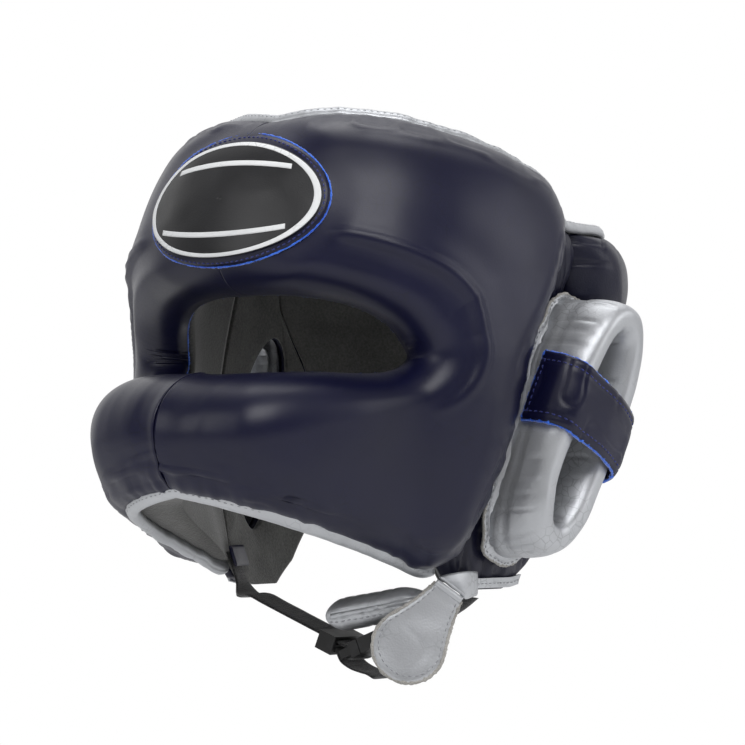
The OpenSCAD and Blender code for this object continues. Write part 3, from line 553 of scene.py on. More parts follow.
NAVY = leather("navy_leather_look", srgb(7, 8, 34), srgb(10, 11, 44), rough=0.34, grain=0.8,
               depth=0.00004, coat=0.15, spec=0.3)
NAVY_SOFT = leather("navy_soft_leather_look", srgb(9, 10, 32), srgb(15, 16, 42), rough=0.42,
                    grain=0.9, depth=0.00012, crack=0.6, coat=0.12, spec=0.3)
SILVER = leather("silver_leather_look", srgb(172, 174, 178), srgb(194, 196, 200), rough=0.4,
                 metal=0.75, grain=1.0, depth=0.0001, crack=0.12)
SUEDE = suede("grey_suede_look", srgb(58, 58, 57), srgb(92, 92, 90))
BLUE = suede("blue_raw_edge_look", srgb(16, 62, 176), srgb(60, 120, 230), scale=1500.0,
             depth=0.0006, sheen=0.6)
THREAD_BLUE = suede("blue_thread_look", srgb(72, 108, 212), srgb(128, 158, 240), scale=2600.0,
                    depth=0.0001, sheen=0.3)
THREAD_NAVY = suede("navy_thread_look", srgb(24, 30, 84), srgb(48, 58, 128), scale=2600.0,
                    depth=0.0001, sheen=0.3)
THREAD_GREY = suede("grey_thread_look", srgb(120, 122, 126), srgb(168, 170, 174), scale=2600.0,
                    depth=0.0001, sheen=0.3)
GREY_EDGE = suede("grey_raw_edge_look", srgb(118, 116, 112), srgb(172, 170, 166), scale=1500.0)
WEB = webbing("black_webbing_look", srgb(14, 14, 15), srgb(48, 48, 50))
LACE = webbing("black_lace_look", srgb(14, 14, 15), srgb(46, 46, 48), rib=0.6, pick=0.9)
HOOKS = suede("hook_and_loop_look", srgb(10, 10, 11), srgb(40, 40, 42), scale=1700.0,
              depth=0.0009, sheen=0.2)
PLASTIC = moulded("black_plastic_look", srgb(16, 16, 17), srgb(30, 30, 32))
PRINT_BLACK = leather("badge_black_look", srgb(18, 18, 20), srgb(30, 30, 33), rough=0.34,
                      grain=0.8, depth=0.00008)
PRINT_WHITE = leather("badge_white_look", srgb(196, 198, 200), srgb(222, 223, 224), rough=0.5,
                      grain=0.8, depth=0.00008)
STEEL = moulded("eyelet_metal_look", srgb(120, 121, 124), srgb(160, 161, 163), rough=0.34,
                metal=0.9)

# Rows of stitches: slot, thread, pitch, length and radius. Cut edges: slot and material
EYE_ROW = ("navy_leather", THREAD_NAVY, 3.0, 2.2, 0.3)
NAVY_ROW = ("navy_leather", THREAD_NAVY, 3.0, 2.1, 0.3)
BADGE_ROW = ("navy_leather", THREAD_NAVY, 2.6, 1.9, 0.3)
BLUE_ROW = ("navy_leather", THREAD_BLUE, 3.4, 2.3, 0.42)
CHANNEL_ROW = ("navy_leather", THREAD_NAVY, 3.4, 2.5, 0.33)
CLOSURE_ROW = ("navy_leather", THREAD_NAVY, 3.2, 2.3, 0.3)
GREY_ROW = ("silver_leather", THREAD_GREY, 3.0, 2.1, 0.3)
FLAP_ROW = ("silver_leather", THREAD_GREY, 2.9, 2.0, 0.3)
FINE_ROW = ("silver_leather", THREAD_GREY, 2.9, 2.0, 0.28)
BLUE_CUT = ("navy_leather", BLUE)
GREY_CUT = ("silver_leather", GREY_EDGE)

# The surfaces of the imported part, from the same sizes
HW, HL, BACK, CROWN_LEAN, JAW_LEAN = 79, 100, 6, 26, 16
BROW_H, CHEEK_H, BAR_H, REAR_H, BAR_FWD = 26, 27, 37, 30, 32
EYE_ROLL, RIM_ROLL, BAR_ROLL = 15, 17, 29
LEATHER, LINING, GAP = 1.6, 2, 0.4
FOOT = LINING + GAP
EYE_EDGE = [[0, 28.5], [16, 27.5], [31, 23.5], [42, 16], [47.5, 6], [49, -3], [43, -10],
            [30, -11], [16, -11.5], [0, -12]]
OUTER_EDGE = [[0, 102], [27, 105], [53, 100.5], [80.5, 87], [90.5, 67], [79, 3], [69, -57],
              [57, -92], [22, -65.5], [0, -56]]
FOOT_LINE = np.array([10, 10.5, 13.5, 16.5, 18, 9.5, 11.5, 5.5, 27, 30.5], float)[:, None]
RIM_Z, LOW_Z, REAR_FOOT = 58, -58, 19
EDGE_N = 9


def lean(z):
    return (CROWN_LEAN * np.maximum(0, (z - 38) / 66) ** 2
            + JAW_LEAN * np.maximum(0, (-20 - z) / 76) ** 1.5)


def barness(t, z):
    return ramp(-np.abs(t), -50, -18.5) * ramp(-z, -24, 10)


def pad(t, z, out):
    t, z, out = np.broadcast_arrays(np.asarray(t, float), np.asarray(z, float), out)
    a, b = HW - lean(z) + out, HL - lean(z) + out
    r = np.radians(t)
    return np.stack([a * np.sin(r), BACK - b * np.cos(r) - BAR_FWD * barness(t, z), z], -1)


def pad_h(t, z):
    return mix(mix(CHEEK_H, BROW_H, ramp(z, 10, 45)), BAR_H, barness(t, z))


def chart(s, v):
    v = np.asarray(v, float)[..., None]
    return mix(curve(EYE_EDGE, s), curve(OUTER_EDGE, s), v)


def span(s):
    d = curve(OUTER_EDGE, s) - curve(EYE_EDGE, s)
    return np.hypot(d[..., 0] * (HW + CHEEK_H / 2) * math.pi / 180, d[..., 1])


def foot_at(s):
    return curve(FOOT_LINE, s)[..., 0]


def face(s, v, d=0.0):
    w = span(s) - 2 * d
    p, q = v * w, (1 - v) * w
    c = chart(s, (d + p) / span(s))
    h = pad_h(c[..., 0], c[..., 1]) - d
    bar = barness(c[..., 0], c[..., 1])
    out = (h - (h - FOOT) * (1 - roll(p, mix(EYE_ROLL, BAR_ROLL, bar) - d))
           - (h - foot_at(s)) * (1 - roll(q, mix(RIM_ROLL, BAR_ROLL, bar) - d)))
    return pad(c[..., 0], c[..., 1], out)


REAR_EDGE = np.array([102, 105, 114, 119, 118], float)[:, None]


def rear_turn(v):
    return curve(REAR_EDGE, v)[..., 0]


def rear(u, v, d=0.0, lift=0.0):
    tall = RIM_Z - LOW_Z
    q = v * (tall - 2 * d)
    vv = (d + q) / tall
    e = rear_turn(vv)
    w = (180 - e) * 2 * HL * math.pi / 180
    p = u * (w - 2 * d)
    t = e + (360 - 2 * e) * (d + p) / w
    h = REAR_H - d
    near = roll(np.minimum(p, w - 2 * d - p), RIM_ROLL - d)
    low = roll(tall - 2 * d - q, RIM_ROLL - d)
    top = roll(q, RIM_ROLL - d)
    out = FOOT + near * low * (REAR_FOOT - FOOT + (h - REAR_FOOT) * top)
    return pad(t, RIM_Z - vv * tall, out + lift)


# The round of the side gusset and the ear pad
EAR_Y, EAR_Z, EAR_TILT, EAR_LONG, EAR_WIDE = 13, -32, math.radians(20), 122, 52
EAR_ROLL, EAR_DEEP, EAR_FLARE, EAR_TURN = 18, 27, 0.19, 0.04
HOLE_HALF_W, HOLE_HALF_L = 15, 49
SEAM_TURN, GUSSET_T, GUSSET_SWELL = 1.2, 3.6, 8
EAR_OUT = FOOT + GUSSET_T


def ear_yz(x, y):
    c, s = math.cos(EAR_TILT), math.sin(EAR_TILT)
    return EAR_Y + x * c + y * s, EAR_Z - x * s + y * c


def gusset_out(z):
    return FOOT + GUSSET_T + GUSSET_SWELL * ramp(z, 24, 56)


def side_x(y, z, out):
    a, b = HW - lean(z) + out, HL - lean(z) + out
    return a * np.sqrt(np.maximum(0, 1 - ((y - BACK) / b) ** 2))


def ear_step(y):
    return 4 * GAP + 8 * ramp(y, 32, 45)


def ear_crest(x, y):
    return HW + EAR_OUT + EAR_DEEP + EAR_FLARE * y + EAR_TURN * x


def ear_point(a, b, inset=0.0, grow=0.0):
    rw, rl = (EAR_WIDE - EAR_ROLL) / 2, (EAR_LONG - EAR_ROLL) / 2
    half = EAR_ROLL / 2 - inset + grow
    side_way = power(np.cos(np.pi - b), 0.75) * half
    x = (rw + side_way) * power(np.cos(a), 0.8)
    y = (rl + side_way) * power(np.sin(a), 0.9)
    yy, zz = ear_yz(x, y)
    base = side_x(yy, zz, gusset_out(zz) + ear_step(yy))
    rise = np.sin(b) ** 0.55
    return np.stack([mix(base, ear_crest(x, y) - inset + grow, rise), yy, zz], -1)


def side_edge():
    s = mix(4.05, 6.95, np.linspace(0, 1, 7)) / EDGE_N
    front = curve(OUTER_EDGE, s) + [SEAM_TURN, 0]
    v = mix(0.01, 0.99, np.linspace(1, 0, 9))
    back = np.stack([rear_turn(v) - SEAM_TURN, mix(RIM_Z, LOW_Z, v)], 1)
    low = [[64, -100], [76, -104], [90, -104], [101, -93], [112, -74]]
    return np.concatenate([front, low, back, [[96, RIM_Z + 3]]])


def side_chart(f, v):
    e = side_edge()
    n = len(e)
    x = np.asarray(f) * n
    i = np.floor(x).astype(int) % n
    g = (x - np.floor(x))[..., None]
    outer = e[i] * (1 - g) + e[(i + 1) % n] * g
    a = np.arctan2(outer[..., 1] - EAR_Z, (outer[..., 0] - 88) * 1.6)
    yy, zz = ear_yz(HOLE_HALF_W * np.cos(a), HOLE_HALF_L * np.sin(a))
    t = 90 + np.degrees(np.arcsin((yy - BACK) / (HL - lean(zz))))
    return mix(np.stack([t, zz], -1), outer, np.asarray(v)[..., None])


RIM_SPLIT, CORNER = 0.5, 4
REAR_RIM = np.array([[90.5, 67, 18], [96, RIM_Z + 3, 15], [101.5, RIM_Z, 14],
                     [120, RIM_Z, REAR_FOOT],
                     [150, RIM_Z, REAR_FOOT], [180, RIM_Z, REAR_FOOT]], float)


def rim_at(u):
    u = np.asarray(u, float)
    s = np.clip(u / RIM_SPLIT, 0, 1) * CORNER / EDGE_N
    front = np.concatenate([curve(OUTER_EDGE, s), foot_at(s)[..., None]], -1)
    back = curve(REAR_RIM, np.clip((u - RIM_SPLIT) / (1 - RIM_SPLIT), 0, 1))
    return np.where((u < RIM_SPLIT)[..., None], front, back)


def rim_over(u, up):
    k = (HW + CHEEK_H / 2) * math.pi / 180
    c = rim_at(u)
    d = rim_at(np.minimum(1, u + 0.01)) - rim_at(np.maximum(0, u - 0.01))
    dx, dz = d[..., 0] * k, d[..., 1]
    n = up / np.maximum(np.hypot(dx, dz), 1e-6)
    return c[..., 0] - n * dz / k, c[..., 1] + n * dx, c[..., 2]


CROWN_Z, CROWN_FALL, CROWN_FLAT, CROWN_T, SLOT_HALF = 107, 0.0055, 0.25, 1.6, 11
SLOT_FRONT, SLOT_REAR, BIND_R = -42, 52, 2.6


def crown_top(y):
    return CROWN_Z - CROWN_FALL * (y + 6) ** 2


def crown(u, v, lift=0.0):
    ct, cz, co = rim_over(u, 2 * GAP)
    bt, bz, _ = rim_over(u, BIND_R + GAP)
    flat = np.minimum(1, v / CROWN_FLAT)
    rise = np.maximum(0, (v - CROWN_FLAT) / (1 - CROWN_FLAT))
    low = pad(bt, bz, mix(co - BIND_R - 2 * GAP, -GAP, flat))
    y = mix(SLOT_FRONT, SLOT_REAR, ramp(u, 0.1, 0.95))
    end = np.stack(np.broadcast_arrays(SLOT_HALF, y, crown_top(y)), -1)
    w = mix(rise, 1 - np.cos(np.pi / 2 * rise), 0.5)
    x = mix(low[..., 0], end[..., 0], w)
    yy = mix(low[..., 1], end[..., 1], w)
    z = cz + (end[..., 2] - cz) * np.sin(np.pi / 2 * rise) + lift
    return np.stack([np.maximum(SLOT_HALF, x), yy, z], -1)


def mirror(p, side):
    return p * np.array([side, 1, 1])


BADGE_TURN, BADGE_TALL, BADGE_Z, BADGE_T, BADGE_BORDER = 28, 60, 67.5, 1.4, 3.8
BACKING_LIFT, PRINT_LIFT = 3 * GAP, 4.4 * GAP + BADGE_T
STRIPE, STRIPE_LOW, STRIPE_REACH, RING_HOLE = 0.56, 0.47, 0.84, 0.935


def brow_out(t, z):
    p = z - EYE_EDGE[0][1]
    q = OUTER_EDGE[0][1] + 1 - z
    return (BROW_H - (BROW_H - FOOT) * (1 - roll(p, EYE_ROLL))
            - (BROW_H - 10) * (1 - roll(q, RIM_ROLL)))


# Face pad: two leather halves, sewn together at the middle of the brow and of the bar
FS, FV = 260, 74


def crowd(n, e=0.75):
    # Steps from 0 to 1 that are closer at both ends
    x = np.linspace(0, 1, n)
    return mix(x, (1 - np.cos(np.pi * x)) / 2, e)


def face_relief(s, v, p, seed):
    """How far the worn leather of the left half stands out from its plain form."""
    w = span(s)
    e, q = v * w, (1 - v) * w
    x, y, z = p[..., 0], p[..., 1], p[..., 2]
    t, zz = chart(s, v)[..., 0], chart(s, v)[..., 1]
    along = curve(OUTER_EDGE, s)
    run = np.concatenate([[0], np.cumsum(np.hypot(np.diff(along[:, 0, 0]) * 1.65,
                                                  np.diff(along[:, 0, 1])))])[:, None]
    d = np.full(p.shape[:2], -0.7)
    # The crease outside the roll of the eye opening, and the swell on both its sides
    line = np.interp(s, [0.0, 0.18, 0.44, 0.52, 0.6, 0.66], [26, 26.6, 26, 21.5, 21, 21])
    deep = np.interp(s, [0.12, 0.2, 0.3, 0.45, 0.56, 0.62, 0.68], [0, 0.8, 1, 1, 0.8, 0.35, 0])
    d -= 2.3 * deep * bump_at(e, line, 2.0) + 1.5 * deep * bump_at(e, line + 3, 7)
    d += 1.2 * deep * bump_at(e, line - 10, 7)
    # The sewn seam in the middle: a fine groove with small puckers
    mid = np.abs(x)
    groove = np.where(s < 0.5, 0.5, 1.0)
    d -= groove * (0.3 * np.exp(-(mid / 1.2) ** 2) + 0.5 * np.exp(-(mid / 7) ** 2))
    d += groove * 0.2 * noise(e / 5.0, mid / 16, 0, seed + 11) * np.exp(-(mid / 9) ** 2)
    # Tucks square to the edges, where the leather is gathered into its seams
    low = ramp(s, 0.76, 0.8)
    side = ramp(s, 0.42, 0.47) * (1 - ramp(s, 0.74, 0.78))
    edge = 0.35 + 0.5 * low + 0.5 * side
    d += 0.9 * edge * folds(run / 7.5, q / 60, 0, seed + 21, 0.22) * np.exp(-(q / 7) ** 2)
    d += 0.5 * edge * noise(run / 4.5, q / 30, 0, seed + 22) * np.exp(-(q / 8) ** 2)
    # Small puckers where the roll turns tightest, at the end of the eye opening
    pinch = bump_at(s, 0.5, 0.07) * np.exp(-(e / 4) ** 2) * (0.35 if seed == 0 else 1)
    d += 0.5 * folds(run / 5.0, e / 40, 0, seed + 23, 0.2) * pinch
    # Crumpled leather above the lower piping and down the side
    d += 1.0 * low * folds(run / 16, q / 5.5, 0, seed + 31, 0.2) * bump_at(q, 8, 7)
    d += 0.5 * low * noise(run / 9, q / 4, 0, seed + 32) * bump_at(q, 7, 7)
    d += 0.9 * side * folds(run / 18, q / 5, 0, seed + 33, 0.2) * bump_at(q, 7, 6)
    # A slack band under the rim
    top = 1 - ramp(s, 0.36, 0.42)
    d += 0.7 * top * folds(run / 22, q / 4.0, 0, seed + 34, 0.22) * bump_at(q, 5, 5)
    # Soft dents of hand-filled padding
    d += 0.55 * noise(x / 38, y / 38, z / 38, seed + 41) + 0.16 * noise(x / 15, y / 15, z / 15, seed + 42)
    # The bar: soft upright folds near its middle
    bar = barness(t, zz)
    d += 0.9 * bar * folds(mid / 9 + e / 90, e / 70, 0, seed + 51, 0.35) * np.exp(-(mid / 24) ** 2) \
        * bump_at(e, 20, 16)
    return d


def face_surf(side):
    # These normals point into the pad: the relief and the thickness grow the other way
    S, V = np.meshgrid(np.linspace(0, 1, FS), crowd(FV), indexing="ij")
    base = face(S, V)
    base[..., 0] = np.maximum(base[..., 0], 0.0) + 0.15
    surf = Surf(base, flip=True)
    surf.push(face_relief(S, V, base, 0 if side > 0 else 400))
    # Flat under the badge, which is sewn down on it
    c = chart(S, V)
    t, z = c[..., 0], c[..., 1]
    oval = np.hypot(t / (BADGE_TURN + 2), (z - BADGE_Z) / (BADGE_TALL / 2 + 3))
    under = (1 - ramp(oval, 0.92, 1.2))[..., None]
    surf.p = mix(surf.p, pad(t, z, brow_out(t, z) - 0.3), under)
    surf.p[..., 0] = np.maximum(surf.p[..., 0], 0.12)
    return Surf(mirror(surf.p, side), flip=side > 0)


def face_pad(side):
    word = WORD[side]
    surf = face_surf(side)
    obj = shell("face_leather_" + word, surf, LEATHER, NAVY)
    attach(obj, "shell")
    names = ["face_cover_" + word, "cheek_foam_" + word]
    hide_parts(*(names + (["brow_foam", "bar_foam"] if side > 0 else [])))
    # Blue thread down both middle seams, on this side of the seam
    v = crowd(FV)
    n = FV - 1
    for part, s, lo, hi in (("brow", 0.0, 0.02, 0.1), ("bar", 1.0, 0.03, 0.97)):
        b = np.linspace(lo, hi, 60)
        vb = np.interp(b, v, np.arange(FV)) / n
        a = np.full(60, 0.006 if s == 0 else 0.985)
        p, nn = surf.at(a, vb, 0.55)
        sew("shell", "thread_%s_%s" % (part, word), p, nn, BLUE_ROW)
    # The edge round the eye opening, sewn to the lining with a raw blue edge
    ss = np.linspace(0.03, 0.97, 260)
    p, nn = surf.at(ss, np.full(260, 0.0), 0.0)
    fray("shell", "eye_raw_edge_" + word, p - nn * 0.9, nn, BLUE_CUT, r=0.55, fibres=1.4, seed=61 + side)
    p, nn = surf.at(ss, np.full(260, 0.02), 0.1)
    sew("shell", "eye_thread_" + word, p, nn, EYE_ROW)


for side in (1, -1):
    face_pad(side)


# Lining of the face pad: one suede ring that folds out at the rim
def lining():
    s = np.linspace(0, 1, 130)
    rows_out, rows_in = [], []
    for sgn, ss in ((1, s), (-1, s[::-1][1:-1])):
        w = span(ss)
        fold = LINING / w
        vs = [np.full(len(ss), f) for f in (0, 0.12, 0.25, 0.38, 0.5, 0.62, 0.75, 0.88)]
        vs.append(1 - fold)
        puff = [0, 0.8, 1.2, 0.7, 1.1, 0.6, 1.1, 0.8, 0]
        top = foot_at(ss) - GAP
        out, inn = [], []
        for v, f in zip(vs, puff):
            c = chart(ss, v)
            soft = f * (0.4 + 0.3 * noise(c[:, 0] / 14, c[:, 1] / 14, 0, 71 + sgn))
            out.append(mirror(pad(c[:, 0], c[:, 1], LINING), sgn))
            inn.append(mirror(pad(c[:, 0], c[:, 1], -soft), sgn))
        c = chart(ss, vs[-1])
        o = chart(ss, np.ones(len(ss)))
        out.append(mirror(pad(c[:, 0], c[:, 1], np.maximum(LINING + 0.5, top)), sgn))
        inn.append(mirror(pad(o[:, 0], o[:, 1], 0.0), sgn))
        inn_edge = mirror(pad(o[:, 0], o[:, 1], np.maximum(LINING, top)), sgn)
        rows_out.append(np.stack(out + [out[-1]], 1))
        rows_in.append(np.stack(inn + [inn_edge], 1))
    outer, inner = np.concatenate(rows_out), np.concatenate(rows_in)
    surf = Surf(inner, wrap=True)
    surf.n = np.zeros_like(surf.n)
    dress(shell("face_lining_suede", surf, 0, SUEDE, back=outer),
          "shell", "face_lining", "bar_core")


lining()


# Bindings: a folded strip of leather with a row of stitches near its free edge
def binding(name, pts, outs, closed, replaces, flat_w=6.2, thick=3.4, seed=3):
    both = resample(np.concatenate([pts, outs], 1), 1.6, closed)
    p, out = both[:, :3], unit(both[:, 3:])
    m = len(p)
    k = np.arange(m) * 1.6
    wob = 0.28 * noise(k / 9, 0, 0, seed) + 0.16 * noise(k / 3.5, 0, 0, seed + 1)
    w = flat_w * (1 + 0.07 * noise(k / 12, 0, 0, seed + 2))
    h = thick * (1 + 0.12 * noise(k / 5, 0, 0, seed + 3))
    mesh = tube_mesh(name, p + out * wob[:, None], out, w, h, 14, closed, 0.85)
    dress(link(name, mesh, SILVER), "shell", *replaces)
    return p + out * wob[:, None], out, h


def lower_piping():
    start = (7 - 0.1) / EDGE_N
    s = np.linspace(start, 1, 60)
    c = curve(OUTER_EDGE, s)
    half = pad(c[:, 0], c[:, 1] - BIND_R - GAP, foot_at(s) - BIND_R / 2)
    inner = pad(c[:, 0], c[:, 1] - BIND_R - GAP, foot_at(s) - BIND_R / 2 - 5)
    out = unit(half - inner) + np.array([0, 0, -0.35])
    pts = np.concatenate([mirror(half, -1), half[::-1][1:]])
    outs = np.concatenate([mirror(out, -1), out[::-1][1:]])
    p, o, h = binding("lower_piping", pts, outs, False, ["lower_binding"], 7.4, 5.2, 81)
    way = unit(np.gradient(p, axis=0))
    side = unit(np.cross(way, o))
    side = side * np.sign(side[:, 2:3])
    line = p + unit(o) * (h[:, None] / 2) + side * 0.2
    sew("shell", "lower_piping_thread", line, o, GREY_ROW, sink=0.25)


lower_piping()


def crown_piping():
    u = np.linspace(0, 1, 150)
    t, z, o = rim_over(u, BIND_R + GAP)
    half = pad(t, z, o)
    inner = pad(t, z, o - 5)
    out = unit(half - inner) * 0.55 + np.array([0, 0, 0.84])
    pts = np.concatenate([half, mirror(half[::-1][1:-1], -1)])
    outs = np.concatenate([out, mirror(out[::-1][1:-1], -1)])
    p, oo, h = binding("crown_piping", pts, outs, True, ["crown_binding"], 7.0, 4.6, 91)
    line = p + unit(oo) * (h[:, None] / 2)
    sew("shell", "crown_piping_thread", line, oo, GREY_ROW, sink=0.25)


crown_piping()


# Badge: a leather oval with a raw blue edge, and a plain printed oval on it
def on_badge(x, y, shrink, lift):
    """x and y from -1 to 1 inside the oval's circle."""
    tall = BADGE_TALL / 2 - shrink
    turn = BADGE_TURN - shrink / 2
    t, z = turn * x, BADGE_Z + tall * y
    wave = 0.25 * noise(t / 7, z / 9, 0, 97)
    return pad(t, z, brow_out(t, z) + lift + wave)


# The inmost ring of a disc, as a share of its radius
POLE = 0.0005


def disc(name, shrink, lift, thick, material, hole=0.0, rings=26):
    """A plate of rings round the oval's middle; with a hole it is a ring."""
    a = np.linspace(0, 2 * math.pi, 120, endpoint=False)
    r = np.linspace(hole, 1, rings if hole == 0 else 5)
    r[0] = max(r[0], POLE)
    A, R = np.meshgrid(a, r, indexing="ij")
    round_off = lift + thick - 0.45 * (np.clip((R - 0.965) / 0.035, 0, 1) ** 2) * min(1, thick)
    top = on_badge(R * np.cos(A), R * np.sin(A), shrink, round_off)
    low = on_badge(R * np.cos(A), R * np.sin(A), shrink, lift)
    surf = Surf(top, wrap=True, flip=True)
    return shell(name, surf, 0, material, back=low)


def oval_line(r, shrink, lift, n=240):
    a = np.linspace(0, 2 * math.pi, n, endpoint=False)
    p = on_badge(r * np.cos(a), r * np.sin(a), shrink, lift)
    q = on_badge(r * np.cos(a), r * np.sin(a), shrink, lift + 1)
    return p, unit(q - p)


def badge():
    back = disc("badge_backing_leather", 0, BACKING_LIFT, BADGE_T, NAVY)
    dress(back, "shell", "badge_backing")
    p, up = oval_line(1.0, 0, BACKING_LIFT + 0.6)
    fray("shell", "badge_raw_edge", p, up, BLUE_CUT, r=0.5, fibres=2.2, closed=True, seed=7)
    p, up = oval_line(0.95, 0, BACKING_LIFT + BADGE_T + 0.05)
    sew("shell", "badge_thread", p, up, BADGE_ROW)
    plate = disc("badge_print", BADGE_BORDER, PRINT_LIFT, BADGE_T - 0.5, PRINT_BLACK)
    dress(plate, "shell", "badge_face")
    ring = disc("badge_print_ring", BADGE_BORDER + 0.3, PRINT_LIFT + BADGE_T - 0.5, 0.12,
                PRINT_WHITE, hole=RING_HOLE)
    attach(ring, "shell")
    for k, (hi, lo) in enumerate(((STRIPE, STRIPE_LOW), (-STRIPE_LOW, -STRIPE))):
        half = math.sqrt(1 - STRIPE ** 2) * STRIPE_REACH
        x = np.linspace(-half, half, 70)
        bend = 0.1 * (1 - (x / half) ** 2) * (1 if k == 0 else -1)
        X = np.repeat(x[:, None], 4, 1)
        Y = np.linspace(lo, hi, 4)[None, :] + bend[:, None]
        top = on_badge(X, Y, BADGE_BORDER + 0.3, PRINT_LIFT + BADGE_T - 0.38)
        low = on_badge(X, Y, BADGE_BORDER + 0.3, PRINT_LIFT + BADGE_T - 0.6)
        obj = shell("badge_print_stripe_%d" % (k + 1), Surf(top), 0, PRINT_WHITE,
                    back=low)
        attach(obj, "shell")


badge()


# Rear pad, with its sewn channels this far below the rim
REAR_CHANNELS = (34, 82)


def rear_pad():
    U, V = np.meshgrid(crowd(230, 0.6), crowd(90, 0.7), indexing="ij")
    base = rear(U, V)
    surf = Surf(base, flip=True)
    x, y, z = base[..., 0], base[..., 1], base[..., 2]
    w = 2 * HL * math.pi / 180 * (180 - rear_turn(V))
    e = np.minimum(U, 1 - U) * w
    q = V * (RIM_Z - LOW_Z)
    low = (1 - V) * (RIM_Z - LOW_Z)
    d = 0.9 * noise(x / 38, y / 38, z / 32, 101) + 0.3 * noise(x / 15, y / 15, z / 15, 102) - 0.5
    d += 1.3 * folds(q / 9, e / 50, 0, 103, 0.22) * np.exp(-(e / 10) ** 2)
    d += 1.0 * folds(x / 8 + y / 11, low / 50, 0, 104, 0.22) * np.exp(-(low / 9) ** 2)
    d += 1.0 * folds(x / 8 + y / 11, q / 50, 0, 105, 0.22) * np.exp(-(q / 8) ** 2)
    # Two sewn channels across the padding
    for line in REAR_CHANNELS:
        d -= 1.7 * bump_at(q, line, 1.8) * ramp(e, 6, 16) + 1.5 * bump_at(q, line, 7) * ramp(e, 4, 14)
        d += 0.35 * noise(x / 5 + y / 6, 0, 0, 106 + line) * bump_at(q, line, 8)
    surf.push(d)
    obj = shell("rear_leather", surf, LEATHER, NAVY_SOFT)
    dress(obj, "shell", "rear_cover", "rear_foam")
    vs = crowd(90, 0.7)
    for k, line in enumerate(REAR_CHANNELS):
        b = np.interp(line / (RIM_Z - LOW_Z), vs, np.arange(90)) / 89
        line = surf.along(0.08, 0.92, 200, b, 0.05)
        sew("shell", "rear_channel_thread_%d" % (k + 1), *line, CHANNEL_ROW)


rear_pad()


def rear_lining():
    U, V = np.meshgrid(np.linspace(0, 1, 90), np.linspace(0, 1, 40), indexing="ij")
    tall = RIM_Z - LOW_Z
    e = rear_turn(V)
    t = e + (360 - 2 * e) * U
    z = RIM_Z - V * tall
    edge = np.minimum(np.minimum(U, 1 - U) * 20, np.minimum(V, 1 - V) * 10)
    soft = (1.2 + 0.9 * noise(t / 9, z / 14, 0, 111)) * np.clip(edge, 0, 1)
    for line in REAR_CHANNELS:
        soft *= 1 - 0.8 * bump_at(V * tall, line, 6)
    inner = pad(t, z, -soft)
    outer = pad(t, z, LINING)
    rim = rear(U[:, :1], np.zeros((90, 1)))
    flat = pad(t[:, :1], z[:, :1], 0.0)
    fold = mix(flat, rim, 0.9)
    inner = np.concatenate([fold, inner], 1)
    under = outer[:, :1].copy()
    under[..., 2] -= LINING
    fold_low = fold.copy()
    fold_low[..., 2] -= LINING
    outer = np.concatenate([fold_low, under, outer[:, 1:]], 1)
    surf = Surf(inner, flip=False)
    dress(shell("rear_lining_suede", surf, 0, SUEDE, back=outer), "shell", "rear_lining")


rear_lining()


# Side gussets round the ear holes
def gusset(side):
    word = WORD[side]
    seed = 0 if side > 0 else 300
    F, V = np.meshgrid(np.linspace(0, 1, 300, endpoint=False), np.linspace(0, 1, 44),
                       indexing="ij")
    c = side_chart(F, V)
    swell = np.sin(np.pi * np.clip(V, 0, 1)) ** 0.6
    base = pad(c[..., 0], c[..., 1], gusset_out(c[..., 1]) - 0.6)
    x, y, z = base[..., 0], base[..., 1], base[..., 2]
    surf = Surf(base, wrap=True)
    grow = 0.6 + swell * (0.7 + 1.3 * noise(y / 16, z / 30, 0, seed + 121))
    grow += swell * 1.5 * folds(y / 7.5, z / 34, 0, seed + 122, 0.22)
    grow += swell * 0.6 * folds(y / 4 + z / 11, z / 12, 0, seed + 123, 0.2)
    top = ramp(z, 20, 40)
    grow += swell * top * (1.6 * noise(y / 9, z / 22, 0, seed + 124) + 0.6)
    if surf.n[0, 20, 0] < 0:
        surf.turn()
    surf.push(grow)
    back = pad(c[..., 0], c[..., 1], FOOT)
    p = Surf(mirror(surf.p, side), flip=surf.flip if side > 0 else not surf.flip, wrap=True)
    dress(shell("side_leather_" + word, p, 0, NAVY_SOFT, back=mirror(back, side)),
          "shell", "side_gusset_" + word)
    inner = pad(c[..., 0], c[..., 1], -0.9 * swell * (1 + 0.5 * noise(y / 12, z / 12, 0, seed + 125)))
    outer = pad(c[..., 0], c[..., 1], LINING)
    li = Surf(mirror(inner, side), flip=not p.flip, wrap=True)
    dress(shell("side_lining_suede_" + word, li, 0, SUEDE, back=mirror(outer, side)),
          "shell", "side_lining_" + word)


for side in (1, -1):
    gusset(side)


